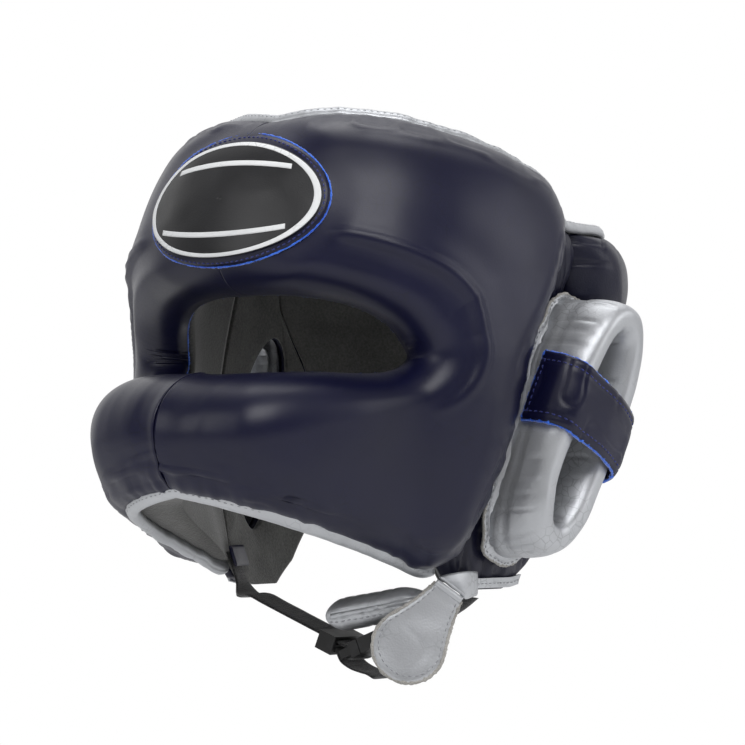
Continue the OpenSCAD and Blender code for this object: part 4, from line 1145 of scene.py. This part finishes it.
# Ear pads
def ear_pad(side):
    word = WORD[side]
    seed = 0 if side > 0 else 500
    m, n = 260, 60
    A, B = np.meshgrid(-np.linspace(0, 2 * math.pi, m, endpoint=False),
                       np.linspace(0, math.pi, n), indexing="ij")
    base = ear_point(A, B)
    surf = Surf(base, wrap=True)
    if (surf.n[:, n // 2, 0]).mean() < 0:
        surf.turn()
    across = B / math.pi
    x, y, z = base[..., 0], base[..., 1], base[..., 2]
    outer_wall = np.exp(-((across - 0.86) / 0.12) ** 2)
    inner_wall = np.exp(-((across - 0.12) / 0.1) ** 2)
    # Wrapped leather: soft dents, tucks in the hole and at the outer seam, and a long fold
    d = 0.9 * noise(x / 26, y / 26, z / 26, seed + 141) + 0.35 * noise(x / 11, y / 11, z / 11, seed + 142)
    d += 0.9 * folds(np.cos(A) * 6, np.sin(A) * 9, across * 1.2, seed + 143, 0.2) * outer_wall
    d += 1.0 * folds(np.cos(A) * 5, np.sin(A) * 8, across * 1.5, seed + 144, 0.22) * inner_wall
    d -= 0.7 * bump_at(across, 0.955, 0.012)
    surf.push(d)
    p = Surf(mirror(surf.p, side), flip=surf.flip if side > 0 else not surf.flip, wrap=True)
    obj = shell("ear_leather_" + word, p, LEATHER, SILVER)
    dress(obj, "shell", "ear_pad_cover_" + word, "ear_pad_foam_" + word)


for side in (1, -1):
    ear_pad(side)


def ear_flange(side):
    """The flat sewn border round the ear pad: raw grey edge outside, a stitch row inside."""
    word = WORD[side]
    m = 240
    a = -np.linspace(0, 2 * math.pi, m, endpoint=False)
    rw, rl = (EAR_WIDE - EAR_ROLL) / 2, (EAR_LONG - EAR_ROLL) / 2
    half = EAR_ROLL / 2
    rows = []
    for k, extra in enumerate(np.linspace(-1.2, 3.2, 7)):
        grow = half + extra * (1 + 0.12 * noise(np.cos(a) * 4, np.sin(a) * 6, 0, 151))
        x = (rw + grow) * power(np.cos(a), 0.8)
        y = (rl + grow) * power(np.sin(a), 0.9)
        yy, zz = ear_yz(x, y)
        out = (gusset_out(zz) + ear_step(yy)
               + 1.9 + 1.0 * noise(np.cos(a) * 4, np.sin(a) * 6, k * 0.2, 152))
        if extra < 0:
            out = out + 2.0
        rows.append(np.stack([side_x(yy, zz, out), yy, zz], -1))
    g = np.stack(rows, 1)
    low = g.copy()
    low[..., 0] -= 1.5
    surf = Surf(mirror(g, side), wrap=True)
    if surf.n[:, 3, 0].mean() * side < 0:
        surf.turn()
    obj = shell("ear_flange_" + word, surf, 0, SILVER, back=mirror(low, side))
    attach(obj, "shell")
    p, nn = surf.at(np.linspace(0, 1, m, endpoint=False), np.full(m, 0.72), 0.05)
    sew("shell", "ear_flange_thread_" + word, p, nn, GREY_ROW)
    p, nn = surf.at(np.linspace(0, 1, m, endpoint=False), np.full(m, 0.999), -0.7)
    fray("shell", "ear_flange_edge_" + word, p, nn, GREY_CUT, r=0.75, fibres=1.8, closed=True,
         seed=157 + side)


for side in (1, -1):
    ear_flange(side)

# Straps over the ear pads
STRAP_LINE = [[-26.2, -20], [-26, -8], [-22, -0.8], [-15, 1.4], [0, 3], [15, 1.4],
              [22, -0.8], [26, -8], [26.2, -19]]
STRAP_W, STRAP_T, STRAP_SEAM = 28, 2.6, 3.4
STRAP_FRONT, STRAP_REAR, STRAP_SLANT, STRAP_LIFT = 1.16, 0.86, 8, 2.8


def strap_point(k, y, lift):
    c = curve(STRAP_LINE, k)
    w = curve(STRAP_LINE, np.minimum(1, k + 0.01)) - curve(STRAP_LINE, np.maximum(0, k - 0.01))
    w = unit(w)
    x = (c[..., 0] + np.sign(c[..., 0]) * (EAR_WIDE / 2 - 26) * np.minimum(1, np.abs(c[..., 0]) / 20)
         - w[..., 1] * lift)
    yy, zz = ear_yz(x, y)
    return np.stack([ear_crest(x, y) + c[..., 1] + w[..., 0] * lift, yy, zz], -1)


def ear_strap(side):
    word = WORD[side]
    K, Y = np.meshgrid(np.linspace(0, 1, 110), np.linspace(0.5, -0.5, 26), indexing="ij")
    wide = STRAP_W * mix(STRAP_FRONT, STRAP_REAR, K)
    slant = STRAP_LIFT + STRAP_SLANT * (1 - 2 * K)
    swell = 0.9 * (1 - (2 * Y) ** 6)
    dent = 0.5 * noise(K * 7, Y * 3, 0, 161 + side) * (1 - (2 * Y) ** 4)
    crease = 0.5 * folds(K * 9, Y * 2.2, 0, 163 + side, 0.16)
    stitch_line = -0.45 * (bump_at(np.abs(Y) * STRAP_W, STRAP_W / 2 - STRAP_SEAM, 0.7))
    top = strap_point(K, wide * Y + slant, GAP + STRAP_T - 0.7 + swell + dent + crease + stitch_line)
    low = strap_point(K, wide * Y + slant, np.full(K.shape, GAP))
    surf = Surf(mirror(top, side))
    if surf.n[55, 13, 0] * side < 0:
        surf.turn()
    dress(shell("ear_strap_leather_" + word, surf, 0, NAVY, back=mirror(low, side)),
          "shell", "ear_strap_" + word)
    for k, b in enumerate((0.0, 1.0)):
        bb = STRAP_SEAM / STRAP_W if b == 0 else 1 - STRAP_SEAM / STRAP_W
        line = surf.along(0.015, 0.985, 120, bb, 0.12)
        sew("shell", "ear_strap_thread_%s_%d" % (word, k + 1), *line, NAVY_ROW)
        line = surf.along(0, 1, 120, b, -1.1)
        fray("shell", "ear_strap_edge_%s_%d" % (word, k + 1), *line, BLUE_CUT, r=0.95,
             seed=171 + k + side)
    for k, a in enumerate((0.0, 1.0)):
        line = surf.across(a, 0, 1, 40, -1.1)
        fray("shell", "ear_strap_end_%s_%d" % (word, k + 1), *line, BLUE_CUT, r=0.95,
             seed=181 + k + side)
        line = surf.across(abs(a - 0.03), 0.14, 0.86, 40, 0.12)
        sew("shell", "ear_strap_end_thread_%s_%d" % (word, k + 1), *line, NAVY_ROW)


for side in (1, -1):
    ear_strap(side)


# Crown: two silver panels with a laced slot over a padded tongue
def crown_panel(side):
    word = WORD[side]
    seed = 0 if side > 0 else 200
    U, V = np.meshgrid(np.linspace(1 / 28, 27 / 28, 220), np.linspace(0, 1, 64), indexing="ij")
    base = crown(U, V, CROWN_T)
    low = crown(U, V, 0.0)
    x, y, z = base[..., 0], base[..., 1], base[..., 2]
    edge = np.clip(np.minimum(V, 1 - V) * 12, 0, 1) * np.clip(np.minimum(U, 1 - U) * 30, 0, 1)
    d = 0.7 * noise(x / 22, y / 22, 0, seed + 201) + 0.5 * folds(x / 30 + y / 45, y / 18, 0, seed + 202, 0.16)
    d += 0.5 * folds(U * 26, V * 3, 0, seed + 203, 0.2) * bump_at(V, 0.22, 0.1)
    d = 0.25 + (d + 0.3) * edge
    top = base.copy()
    top[..., 2] += np.maximum(d, -0.9)
    surf = Surf(mirror(top, side))
    if surf.n[110, 40, 2] < 0:
        surf.turn()
    dress(shell("crown_leather_" + word, surf, 0, SILVER, back=mirror(low, side)),
          "shell", "crown_panel_" + word)
    line = surf.along(0.06, 0.94, 160, 0.965, 0.05)
    sew("shell", "crown_slot_thread_" + word, *line, GREY_ROW)
    line = surf.along(0.0, 1.0, 200, 0.1, 0.05)
    sew("shell", "crown_rim_thread_" + word, *line, GREY_ROW)


for side in (1, -1):
    crown_panel(side)


def tongue():
    X, Y = np.meshgrid(np.linspace(-1, 1, 40), np.linspace(SLOT_FRONT + 6, SLOT_REAR - 6, 70),
                       indexing="ij")
    edge = np.clip((1 - np.abs(X)) * 9, 0, 1) * np.clip((41 - np.abs(Y - 5)) / 5, 0, 1)
    puff = 0.35 * noise(X * 3, Y / 12, 0, 211) * edge
    top = np.stack([X * 20, Y, crown_top(Y) - 0.1 - 2 * X * X + puff - 0.5 * (1 - edge)], -1)
    low = np.stack([X * 20, Y, crown_top(Y) - 4.1 - 2 * X * X + 0.9 * (1 - edge)
                    + 0.4 * noise(X * 3, Y / 9, 0, 212)], -1)
    dress(shell("crown_tongue_suede", Surf(top), 0, SUEDE, back=low),
          "shell", "crown_tongue")


tongue()

EYELETS, EYELET_R, EYELET_H, LACE_D, SLOT_END = 5, 3.2, 1.2, 2.4, 17
EYE_X = SLOT_HALF + EYELET_R + 2.5
PITCH = (SLOT_REAR - SLOT_FRONT - 2 * SLOT_END) / (EYELETS - 1)


def lace():
    lift = CROWN_T + EYELET_H + 2 * GAP + LACE_D / 2
    ring = SLOT_FRONT + SLOT_END + PITCH * np.arange(EYELETS)
    pts = []
    for k in range(2 * EYELETS):
        i = k // 2
        s = -1 if k % 4 in (0, 3) else 1
        y = ring[i] + (k % 2) * 0.3
        pts.append([s * EYE_X, y, crown_top(y) + lift])
    pts = resample(np.array(pts, float), 1.2)
    k = np.arange(len(pts))
    pts[:, 2] += 0.25 * noise(k / 6, 0, 0, 221)
    mesh = tube_mesh("crown_lace_flat", pts, np.tile([0, 0, 1.0], (len(pts), 1)), 3.6, 1.6, 10,
                     False, 0.7)
    dress(link("crown_lace_flat", mesh, LACE), "shell", "crown_lace")


lace()

# Rear closure: strap, its hook and loop patches, and the sewn hinge tab
PATCH_T, STRAP_Z, RS_W, RS_T = 1.2, 8, 46, 2.8
PATCH_LOW = REAR_H + GAP
STRAP_LOW = PATCH_LOW + 2 * PATCH_T + 2 * GAP


def band(name, t0, t1, wide, low, thick, material, puff=0.5, steps=110, seed=0, round_end=0):
    T, Y = np.meshgrid(np.linspace(0, 1, steps), np.linspace(0.5, -0.5, 30), indexing="ij")
    t = mix(t0, t1, T)
    half = np.ones_like(T)
    if round_end:
        x = np.clip((1 - T) * abs(t1 - t0) * 2.2 / round_end, 0, 1)
        half = 1 - 0.22 * (1 - np.sqrt(np.clip(1 - (1 - x) ** 2, 0, 1)))
    swell = puff * (1 - (2 * Y) ** 6) * np.clip(np.minimum(T, 1 - T) * 12, 0, 1)
    swell += 0.35 * puff * noise(t / 5, Y * 3, 0, seed) + 0.4 * puff * folds(t / 6, Y * 2, 0, seed + 1, 0.16)
    z = STRAP_Z + wide * Y * half
    top = pad(t, z, low + thick - puff + np.clip(swell, -0.6 * thick, puff))
    under = pad(t, z, low)
    surf = Surf(top)
    m = surf.p[steps // 2, 15]
    if (surf.n[steps // 2, 15] * (m * [1, 1, 0])).sum() < 0:
        surf.turn()
    obj = shell(name, surf, 0, material, back=under)
    return obj, surf


def closure():
    strap, surf = band("rear_strap_leather", 152.6, 212, RS_W, STRAP_LOW, RS_T,
                       NAVY, 0.6, 130, 231, 12)
    dress(strap, "closure", "rear_strap")
    for k, b in enumerate((0.08, 0.92)):
        line = surf.along(0.02, 0.97, 120, b, 0.1)
        sew("closure", "rear_strap_thread_%d" % (k + 1), *line, CLOSURE_ROW)
        line = surf.along(0, 1, 140, float(k), -1.2)
        fray("closure", "rear_strap_edge_%d" % (k + 1), *line, BLUE_CUT, r=0.9, seed=235 + k)
    line = surf.across(1.0, 0, 1, 60, -1.2)
    fray("closure", "rear_strap_edge_3", *line, BLUE_CUT, r=0.9, seed=238)
    hook, _ = band("rear_hook_fabric", 172, 209, RS_W - 8, STRAP_LOW - PATCH_T - GAP / 2, PATCH_T,
                   HOOKS, 0.1, 60, 241)
    dress(hook, "closure", "rear_hook_patch")
    loop, _ = band("rear_loop_fabric", 166, 212, RS_W - 6, PATCH_LOW, PATCH_T,
                   HOOKS, 0.1, 70, 243)
    dress(loop, "shell", "rear_loop_patch")
    tab, surf = band("rear_tab_leather", 145, 152, RS_W, PATCH_LOW, STRAP_LOW - PATCH_LOW + RS_T,
                     NAVY, 0.8, 30, 247)
    dress(tab, "shell", "rear_hinge_tab")
    for k, a in enumerate((0.18, 0.34)):
        line = surf.across(a, 0.04, 0.96, 60, 0.1)
        sew("shell", "rear_tab_thread_%d" % (k + 1), *line, CLOSURE_ROW)


closure()

# Chin strap
WEB_SLOPE, BUCKLE_SLOPE = math.radians(22), math.radians(-22)
BAR_AT = np.array([25, -49, -132.0])
PLUG_R, WEB_W, WEB_T, STRAIGHT = 1.2, 18, 1.6, 50
LAYER = PLUG_R + GAP + WEB_T / 2
TAIL = LAYER - WEB_T - 1.8


def strap_pt(x, z, slope=WEB_SLOPE):
    c, s = math.cos(slope), math.sin(slope)
    return BAR_AT + np.array([x * c + z * s, 0, -x * s + z * c])


def ribbon(name, path, ways, halfs, thick, material, step=0.8, wave=0.12, seed=0):
    """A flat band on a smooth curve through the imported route's own points."""
    path, ways, halfs = (np.asarray(q, float) for q in (path, ways, halfs))
    s = np.linspace(0, 1, 40 * len(path))
    both = curve(np.concatenate([path, ways, halfs[:, None]], 1), s)
    both = resample(both, step)
    p, w, half = both[:, :3], unit(both[:, 3:6]), both[:, 6]
    way = unit(np.gradient(p, axis=0))
    up = unit(np.cross(way, w))
    j = np.linspace(-1, 1, 15)
    k = np.arange(len(p))[:, None] * step
    lift = thick / 2 - 0.12 + wave * noise(k / 7, j[None, :] * 2, 0, 251 + seed)
    rim = 1 - 0.55 * np.abs(j[None, :]) ** 8
    grid = p[:, None] + w[:, None] * (half[:, None] * j[None, :])[..., None]
    top = grid + up[:, None] * (lift * rim)[..., None]
    low = grid - up[:, None] * ((thick / 2) * rim)[..., None]
    surf = Surf(top)
    if (surf.n[len(p) // 2, 7] * up[len(p) // 2]).sum() < 0:
        surf.turn()
    return shell(name, surf, 0, material, back=low), surf


def chin_webbing():
    in_ = -GAP - WEB_T / 2
    path = [pad(-62, -88, in_), pad(-62, -100.5, in_ - 0.3), [-47, -36, -106.5], [-39, -43, -108],
            strap_pt(-STRAIGHT - 10, LAYER), strap_pt(-STRAIGHT, LAYER), strap_pt(-25, LAYER)]
    for a in range(90, -91, -30):
        r = math.radians(a)
        path.append(strap_pt(LAYER * math.cos(r), LAYER * math.sin(r)))
    turned = [[-0.36, 0.93, 0], [-0.36, 0.93, 0], [-0.1, 0.99, 0], [0.1, 0.99, 0]]
    ways = turned + [[0, 1, 0]] * (len(path) - 4)
    obj, _ = ribbon("chin_webbing_woven", path, ways, [WEB_W / 2] * len(path), WEB_T,
                    WEB)
    dress(obj, "shell", "chin_webbing")
    route = [[-17, 0], [-7, 0], [-5, -0.9], [-1.5, -3.6], [4, -4.4], [9, -3.9], [13, -3.2],
             [17, -3.4]]
    path = [strap_pt(x, z + TAIL) for x, z in route]
    obj, _ = ribbon("webbing_tail_woven", path, [[0, 1, 0]] * 8, [WEB_W / 2] * 8, WEB_T,
                    WEB, seed=1)
    dress(obj, "slider", "webbing_tail")
    base_at = LAYER + WEB_T / 2 + 1
    end = base_at + 5 + GAP + 14 + 3.4
    up = PLUG_R + GAP / 2 + WEB_T / 2
    path = [strap_pt(end - 1.6, up, BUCKLE_SLOPE), strap_pt(end + 3, up, BUCKLE_SLOPE),
            [61, -46, -117.5], [66, -36, -112], [67.5, -27, -107]]
    ways = [[0, 1, 0], [0, 1, 0], [0.1, 0.99, -0.1], [0.2, 0.97, -0.1], [0.3, 0.95, -0.1]]
    obj, _ = ribbon("short_webbing_woven", path, ways, [WEB_W / 2 - 1] * 5, WEB_T,
                    WEB, seed=2)
    dress(obj, "shell", "short_webbing")
    anchor = [pad(-70 + 4 * k, -90, -2 * GAP - WEB_T - LEATHER / 2) for k in range(5)]
    ways = [unit(pad(-70 + 4 * k, -85, -3.2) - pad(-70 + 4 * k, -95, -3.2)) for k in range(5)]
    obj, surf = ribbon("webbing_anchor_leather", anchor, ways, [5] * 5, LEATHER,
                       NAVY, seed=3)
    dress(obj, "shell", "webbing_anchor")


chin_webbing()
for name in ("slider", "buckle_plug", "buckle_socket", "buckle_arm_front", "buckle_arm_rear"):
    NODES[name].material_slots[0].material = PLASTIC
    edge = NODES[name].modifiers.new("soft_edges", "BEVEL")
    edge.width = 0.0004
    edge.segments = 2
    edge.limit_method = "ANGLE"
NODES["crown_eyelets"].material_slots[0].material = STEEL

# Teardrop flap, its anchor tab, the jaw pad and the hems
FLAP_AT = np.array([72, -47, -104.0])
FLAP_DOWN = unit(np.array([-0.391, -0.466, -0.794]))
FLAP_OUT = unit(np.array([0.62, -0.74, 0.153]))
FLAP_ACROSS = unit(np.cross(FLAP_OUT, FLAP_DOWN))
FLAP_Z = -FLAP_DOWN
FLAP_Y = np.cross(FLAP_Z, FLAP_ACROSS)
FLAP_L, FLAP_W, FLAP_T, NECK, PIN_R = 46, 32, 2.6, 7, 1.8
FLAP_TURN = 28


def flap_outline(n=220):
    r = FLAP_W / 2
    low = -FLAP_L + r
    a = np.radians(np.linspace(FLAP_TURN, -180 - FLAP_TURN, n))
    arc = np.stack([r * np.cos(a), low + r * np.sin(a)], 1)
    left = np.stack([np.linspace(NECK, r * math.cos(math.radians(FLAP_TURN)), 40),
                     np.linspace(0, low + r * math.sin(math.radians(FLAP_TURN)), 40)], 1)
    pull = np.sin(np.linspace(0, math.pi, 40))[:, None] * np.array([-0.8, 0])
    left = left + pull
    right = left[::-1] * [-1, 1]
    return resample(np.concatenate([left[:-1], arc[1:-1], right[1:]]), 1.1)


def flap_place(x, z, y):
    x, z, y = np.broadcast_arrays(x, z, y)
    return (FLAP_AT + FLAP_ACROSS * x[..., None] + FLAP_Z * z[..., None] + FLAP_Y * y[..., None])


def flap():
    line = flap_outline()
    middle = np.array([0, -FLAP_L * 0.52])
    m = len(line)
    # Rows from the neck down to the round end
    r = FLAP_W / 2
    low_z = -FLAP_L + r
    turn = np.radians(FLAP_TURN)
    f = np.linspace(0, 1, 34)
    neck_z = f * (low_z + r * math.sin(turn))
    neck_w = mix(NECK, r * math.cos(turn), f) - 0.8 * np.sin(np.pi * f)
    a = np.linspace(turn, -math.radians(87), 50)[1:]
    rows_z = np.concatenate([neck_z, low_z + r * np.sin(a)])[:, None]
    rows_w = np.concatenate([neck_w, r * np.cos(a)])[:, None]
    u = np.sin(np.linspace(-np.pi / 2, np.pi / 2, 46))[None, :]
    x, z = u * rows_w, rows_z + 0 * u
    depth = np.minimum(rows_w * (1 - np.abs(u)), np.maximum(0, z + FLAP_L))
    rim = np.clip(depth / 1.4, 0, 1)
    dents = 0.45 * noise(x / 12, z / 12, 0, 261) + 0.1 * folds(x / 14, z / 10, 0, 262, 0.3)
    cup = 0.9 * (np.abs(x) / 19) ** 2
    top = flap_place(x, z, -(FLAP_T / 2 - 0.5 + dents * rim - 0.5 * (1 - rim)) + 0.25 * cup)
    low = flap_place(x, z, FLAP_T / 2 - 0.2 * (1 - rim) + 0.25 * cup)
    front = FLAP_Y * -1
    surf = Surf(top)
    sign = 1 if (surf.n[40, 23] @ front) > 0 else -1
    if sign < 0:
        surf.turn()
    dress(shell("flap_leather", surf, 0, SILVER, back=low), "flap", "cover_flap")
    inset = middle + (line - middle) * 0.86
    dd = 0.45 * noise(inset[:, 0] / 12, inset[:, 1] / 12, 0, 261)
    p = flap_place(inset[:, 0], inset[:, 1], -(FLAP_T / 2 - 0.42 + dd))
    sew("flap", "flap_thread", p, np.tile(front, (m, 1)), FLAP_ROW)
    p = flap_place(line[:, 0], line[:, 1], 0.2)
    fray("flap", "flap_raw_edge", p, np.tile(front, (m, 1)), GREY_CUT, r=0.9, seed=265)
    pin = [flap_place(np.array(x), np.array(0.0), np.array(0.0)) for x in np.linspace(-7, 7, 16)]
    mesh = tube_mesh("flap_neck_roll", pin, np.tile(front, (16, 1)), 3.5, 3.5, 14)
    obj = link("flap_neck_roll", mesh, SILVER)
    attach(obj, "flap")


flap()


def flap_tab():
    start = FLAP_AT - FLAP_DOWN * (PIN_R + GAP + 0.4)
    path = [start, [72.8, -40, -101.8], [72.4, -31, -101.4], [68.5, -19, -101.2]]
    ways = [FLAP_ACROSS, unit(mix(FLAP_ACROSS, np.array([0, 0.1, -1]), 0.5)), [0, 0, -1],
            [0, 0, -1]]
    obj, surf = ribbon("flap_tab_leather", path, ways, [NECK, 6.4, 6, 5.4], LEATHER,
                       SILVER, seed=5, wave=0.3)
    dress(obj, "shell", "flap_anchor")
    for k, b in enumerate((0.14, 0.86)):
        line = surf.along(0.04, 0.9, 60, b, 0.1)
        sew("shell", "flap_tab_thread_%d" % (k + 1), *line, FINE_ROW)


flap_tab()

JAW_AT = np.array([63.4, -41, -106.4])
JAW_WAY = unit(np.array([-0.88, -0.3, -0.18]))
JAW_ACROSS = unit(np.array([0.3, -0.95, 0]))
JAW_UP = np.cross(JAW_ACROSS, JAW_WAY)
JAW_L, JAW_T, JAW_W = 52, 15, 24


def jaw_pad():
    f = np.concatenate([np.linspace(0, 0.8, 50), 0.8 + 0.2 * np.sin(np.linspace(0, 1, 22)[1:] * math.pi / 2)])
    a = -np.linspace(0, 2 * math.pi, 72, endpoint=False)
    F, A = np.meshgrid(f, a, indexing="ij")
    x = F * JAW_L
    swell = np.sqrt(np.maximum(0, 1 - (np.maximum(0, x - JAW_L * 0.8) / (JAW_L * 0.21)) ** 2))
    thick = mix(0.36, 1, ramp(F, 0, 0.35)) * JAW_T / 2 * swell
    wide = JAW_W / 2 * (0.25 + 0.75 * swell) * mix(0.5, 1, ramp(F, 0, 0.4))
    p = (JAW_AT + JAW_WAY * x[..., None]
         + JAW_ACROSS * (np.maximum(0.6, wide) * power(np.cos(A), 0.8))[..., None]
         + JAW_UP * (np.maximum(0.5, thick) * power(np.sin(A), 0.8))[..., None])
    g = np.concatenate([p, p[:, :1]], 1)
    surf = Surf(g)
    c = JAW_AT + JAW_WAY * 25
    if (surf.n[30, 18] * (g[30, 18] - c)).sum() < 0:
        surf.turn()
    A2 = np.concatenate([A, A[:, :1]], 1)
    F2 = np.concatenate([F, F[:, :1]], 1)
    X, Y, Z = g[..., 0], g[..., 1], g[..., 2]
    seam = np.exp(-(np.sin(A2) / 0.13) ** 2) * (np.cos(A2) > 0)
    creases = folds(F2 * 9, A2 * 0.35, 0, 272, 0.2)
    d = 0.45 * noise(X / 11, Y / 11, Z / 11, 271) + 0.8 * creases * (0.35 + seam)
    d -= 0.6 * seam
    d = d * np.clip((1 - F2) * 10, 0, 1) * np.clip(F2 * 10, 0, 1) - 0.3
    surf.push(d)
    surf.p[:, -1] = surf.p[:, 0]
    m, n = surf.p.shape[:2]
    faces = grid_faces(m, n, False, 0, surf.flip)
    faces.append(list(range(n - 1)))
    faces.append([(m - 1) * n + j for j in range(n - 2, -1, -1)])
    u, v = surf.lengths()
    mesh = make_mesh("jaw_pad_leather", surf.p.reshape(-1, 3), faces,
                     np.stack([u, v], -1).reshape(-1, 2))
    obj = link("jaw_pad_leather", mesh, SILVER)
    dress(obj, "shell", "jaw_pad")
    # A sewn piping along the front edge of the pad
    k = np.linspace(0.05, 0.93, 70)
    line, nn = surf.at(np.interp(k, f, np.linspace(0, 1, len(f))), np.zeros(70), -0.3)
    mesh = tube_mesh("jaw_pad_piping", line, nn, 2.6, 2.4, 12)
    obj = link("jaw_pad_piping", mesh, SILVER)
    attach(obj, "shell")
    p, nn = surf.at(np.interp(k, f, np.linspace(0, 1, len(f))), np.full(70, 0.94), 0.15)
    sew("shell", "jaw_pad_thread", p, nn, FINE_ROW)


jaw_pad()


def hem_tab(side):
    word = WORD[side]
    K, Z = np.meshgrid(np.linspace(0, 1, 70), np.linspace(0, 1, 14), indexing="ij")
    t = mix(68, 97, K)
    z = curve(np.array([[-99], [-101.5], [-103.6]], float), Z)[..., 0] + 1.2 * ramp(np.abs(t - 83), 8, 15)
    ripple = 0.4 * noise(t / 3, Z * 2, 0, 281 + side) * np.sin(np.pi * Z)
    top = pad(t, z, EAR_OUT + GAP + LEATHER + ripple - 0.25)
    low = pad(t, z, EAR_OUT + GAP)
    surf = Surf(mirror(top, side))
    if surf.n[35, 7, 0] * side < 0:
        surf.turn()
    dress(shell("hem_leather_" + word, surf, 0, SILVER, back=mirror(low, side)),
          "shell", "hem_tab_" + word)
    line = surf.along(0.03, 0.97, 60, 0.5, 0.1)
    sew("shell", "hem_thread_" + word, *line, FINE_ROW)


for side in (1, -1):
    hem_tab(side)

# Stage: a pale floor, a white backdrop that the camera and glossy surfaces see, soft lamps
ROOM_LIGHT, ROOM_DIM, ROOM_EDGE = 0.5, 0.08, (-0.15, 0.75)

def stage():
    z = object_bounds()[0][2] - 0.12
    mesh = bpy.data.meshes.new("floor")
    size = 6.0
    mesh.from_pydata([(-size, -size, z), (size, -size, z), (size, size, z), (-size, size, z)], [],
                     [(0, 1, 2, 3)])
    floor = bpy.data.objects.new("floor", mesh)
    bpy.context.scene.collection.objects.link(floor)
    # The floor fades to the backdrop's white away from the object, and keeps its shadow near it
    mat, t, bsdf = start("floor_look")
    co = put(t, "TexCoord").outputs["Object"]
    cloud = cloudy(t, co, 4.0, 2.0)
    col = blend_colour(t, cloud, (0.8, 0.8, 0.8, 1), (0.84, 0.84, 0.84, 1))
    wire(bsdf, "Base Color", col)
    bsdf.inputs["Roughness"].default_value = 0.9
    bsdf.inputs["Specular IOR Level"].default_value = 0.0
    far = put(t, "VectorMath", {"operation": "LENGTH"}, i0=co).outputs["Value"]
    fade = span_map(t, far, 0.35, 0.95, 0.0, 1.0)
    seen = maths(t, "MULTIPLY", fade, put(t, "LightPath").outputs["Is Camera Ray"])
    glow = put(t, "Emission", None, Color=(1, 1, 1, 1), Strength=1.0)
    both = put(t, "MixShader", None, i0=seen, i1=bsdf.outputs[0], i2=glow.outputs[0])
    t.links.new(both.outputs[0], t.nodes["Material Output"].inputs["Surface"])
    mesh.materials.append(mat)
    floor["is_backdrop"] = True
    world = bpy.data.worlds.new("world")
    bpy.context.scene.world = world
    world.use_nodes = True
    t = world.node_tree
    back = t.nodes["Background"]
    path = put(t, "LightPath")
    seen = maths(t, "MAXIMUM", path.outputs["Is Camera Ray"], path.outputs["Is Transmission Ray"])
    # Gloss shows the white backdrop behind the object and a dimmer room in front of it
    az = math.radians(AZ)
    way = put(t, "TexCoord").outputs["Generated"]
    behind = put(t, "VectorMath", {"operation": "DOT_PRODUCT"}, i0=way,
                 i1=(-math.sin(az), math.cos(az), 0.0)).outputs["Value"]
    gloss = span_map(t, behind, ROOM_EDGE[0], ROOM_EDGE[1], ROOM_DIM, 1.0)
    gloss = maths(t, "MULTIPLY", gloss, path.outputs["Is Glossy Ray"])
    lit = maths(t, "MULTIPLY", maths(t, "SUBTRACT", 1.0, path.outputs["Is Glossy Ray"]), ROOM_LIGHT)
    total = maths(t, "MAXIMUM", seen, maths(t, "ADD", gloss, lit))
    back.inputs["Color"].default_value = (1, 1, 1, 1)
    t.links.new(total, back.inputs["Strength"])


def aim_lamp(name, azimuth, elevation, distance, wide, tall, watts):
    """A soft lamp placed by its direction from the object, azimuth from the front to the left."""
    a, e = math.radians(azimuth), math.radians(elevation)
    place = (distance * math.sin(a) * math.cos(e), -distance * math.cos(a) * math.cos(e),
             distance * math.sin(e))
    data = bpy.data.lights.new(name, "AREA")
    data.shape = "RECTANGLE"
    data.size = wide
    data.size_y = tall
    data.energy = watts
    obj = bpy.data.objects.new(name, data)
    obj.location = place
    obj.rotation_euler = Vector(place).to_track_quat("Z", "Y").to_euler()
    bpy.context.scene.collection.objects.link(obj)


stage()
aim_lamp("key", 46, 44, 1.7, 0.9, 0.8, 14)
aim_lamp("front", -14, 24, 1.7, 0.8, 1.1, 6)
aim_lamp("side", 112, 18, 1.7, 0.7, 1.1, 7)
aim_lamp("top", 200, 74, 1.7, 1.0, 0.7, 8)

view = bpy.context.scene.view_settings
view.view_transform = "Standard"
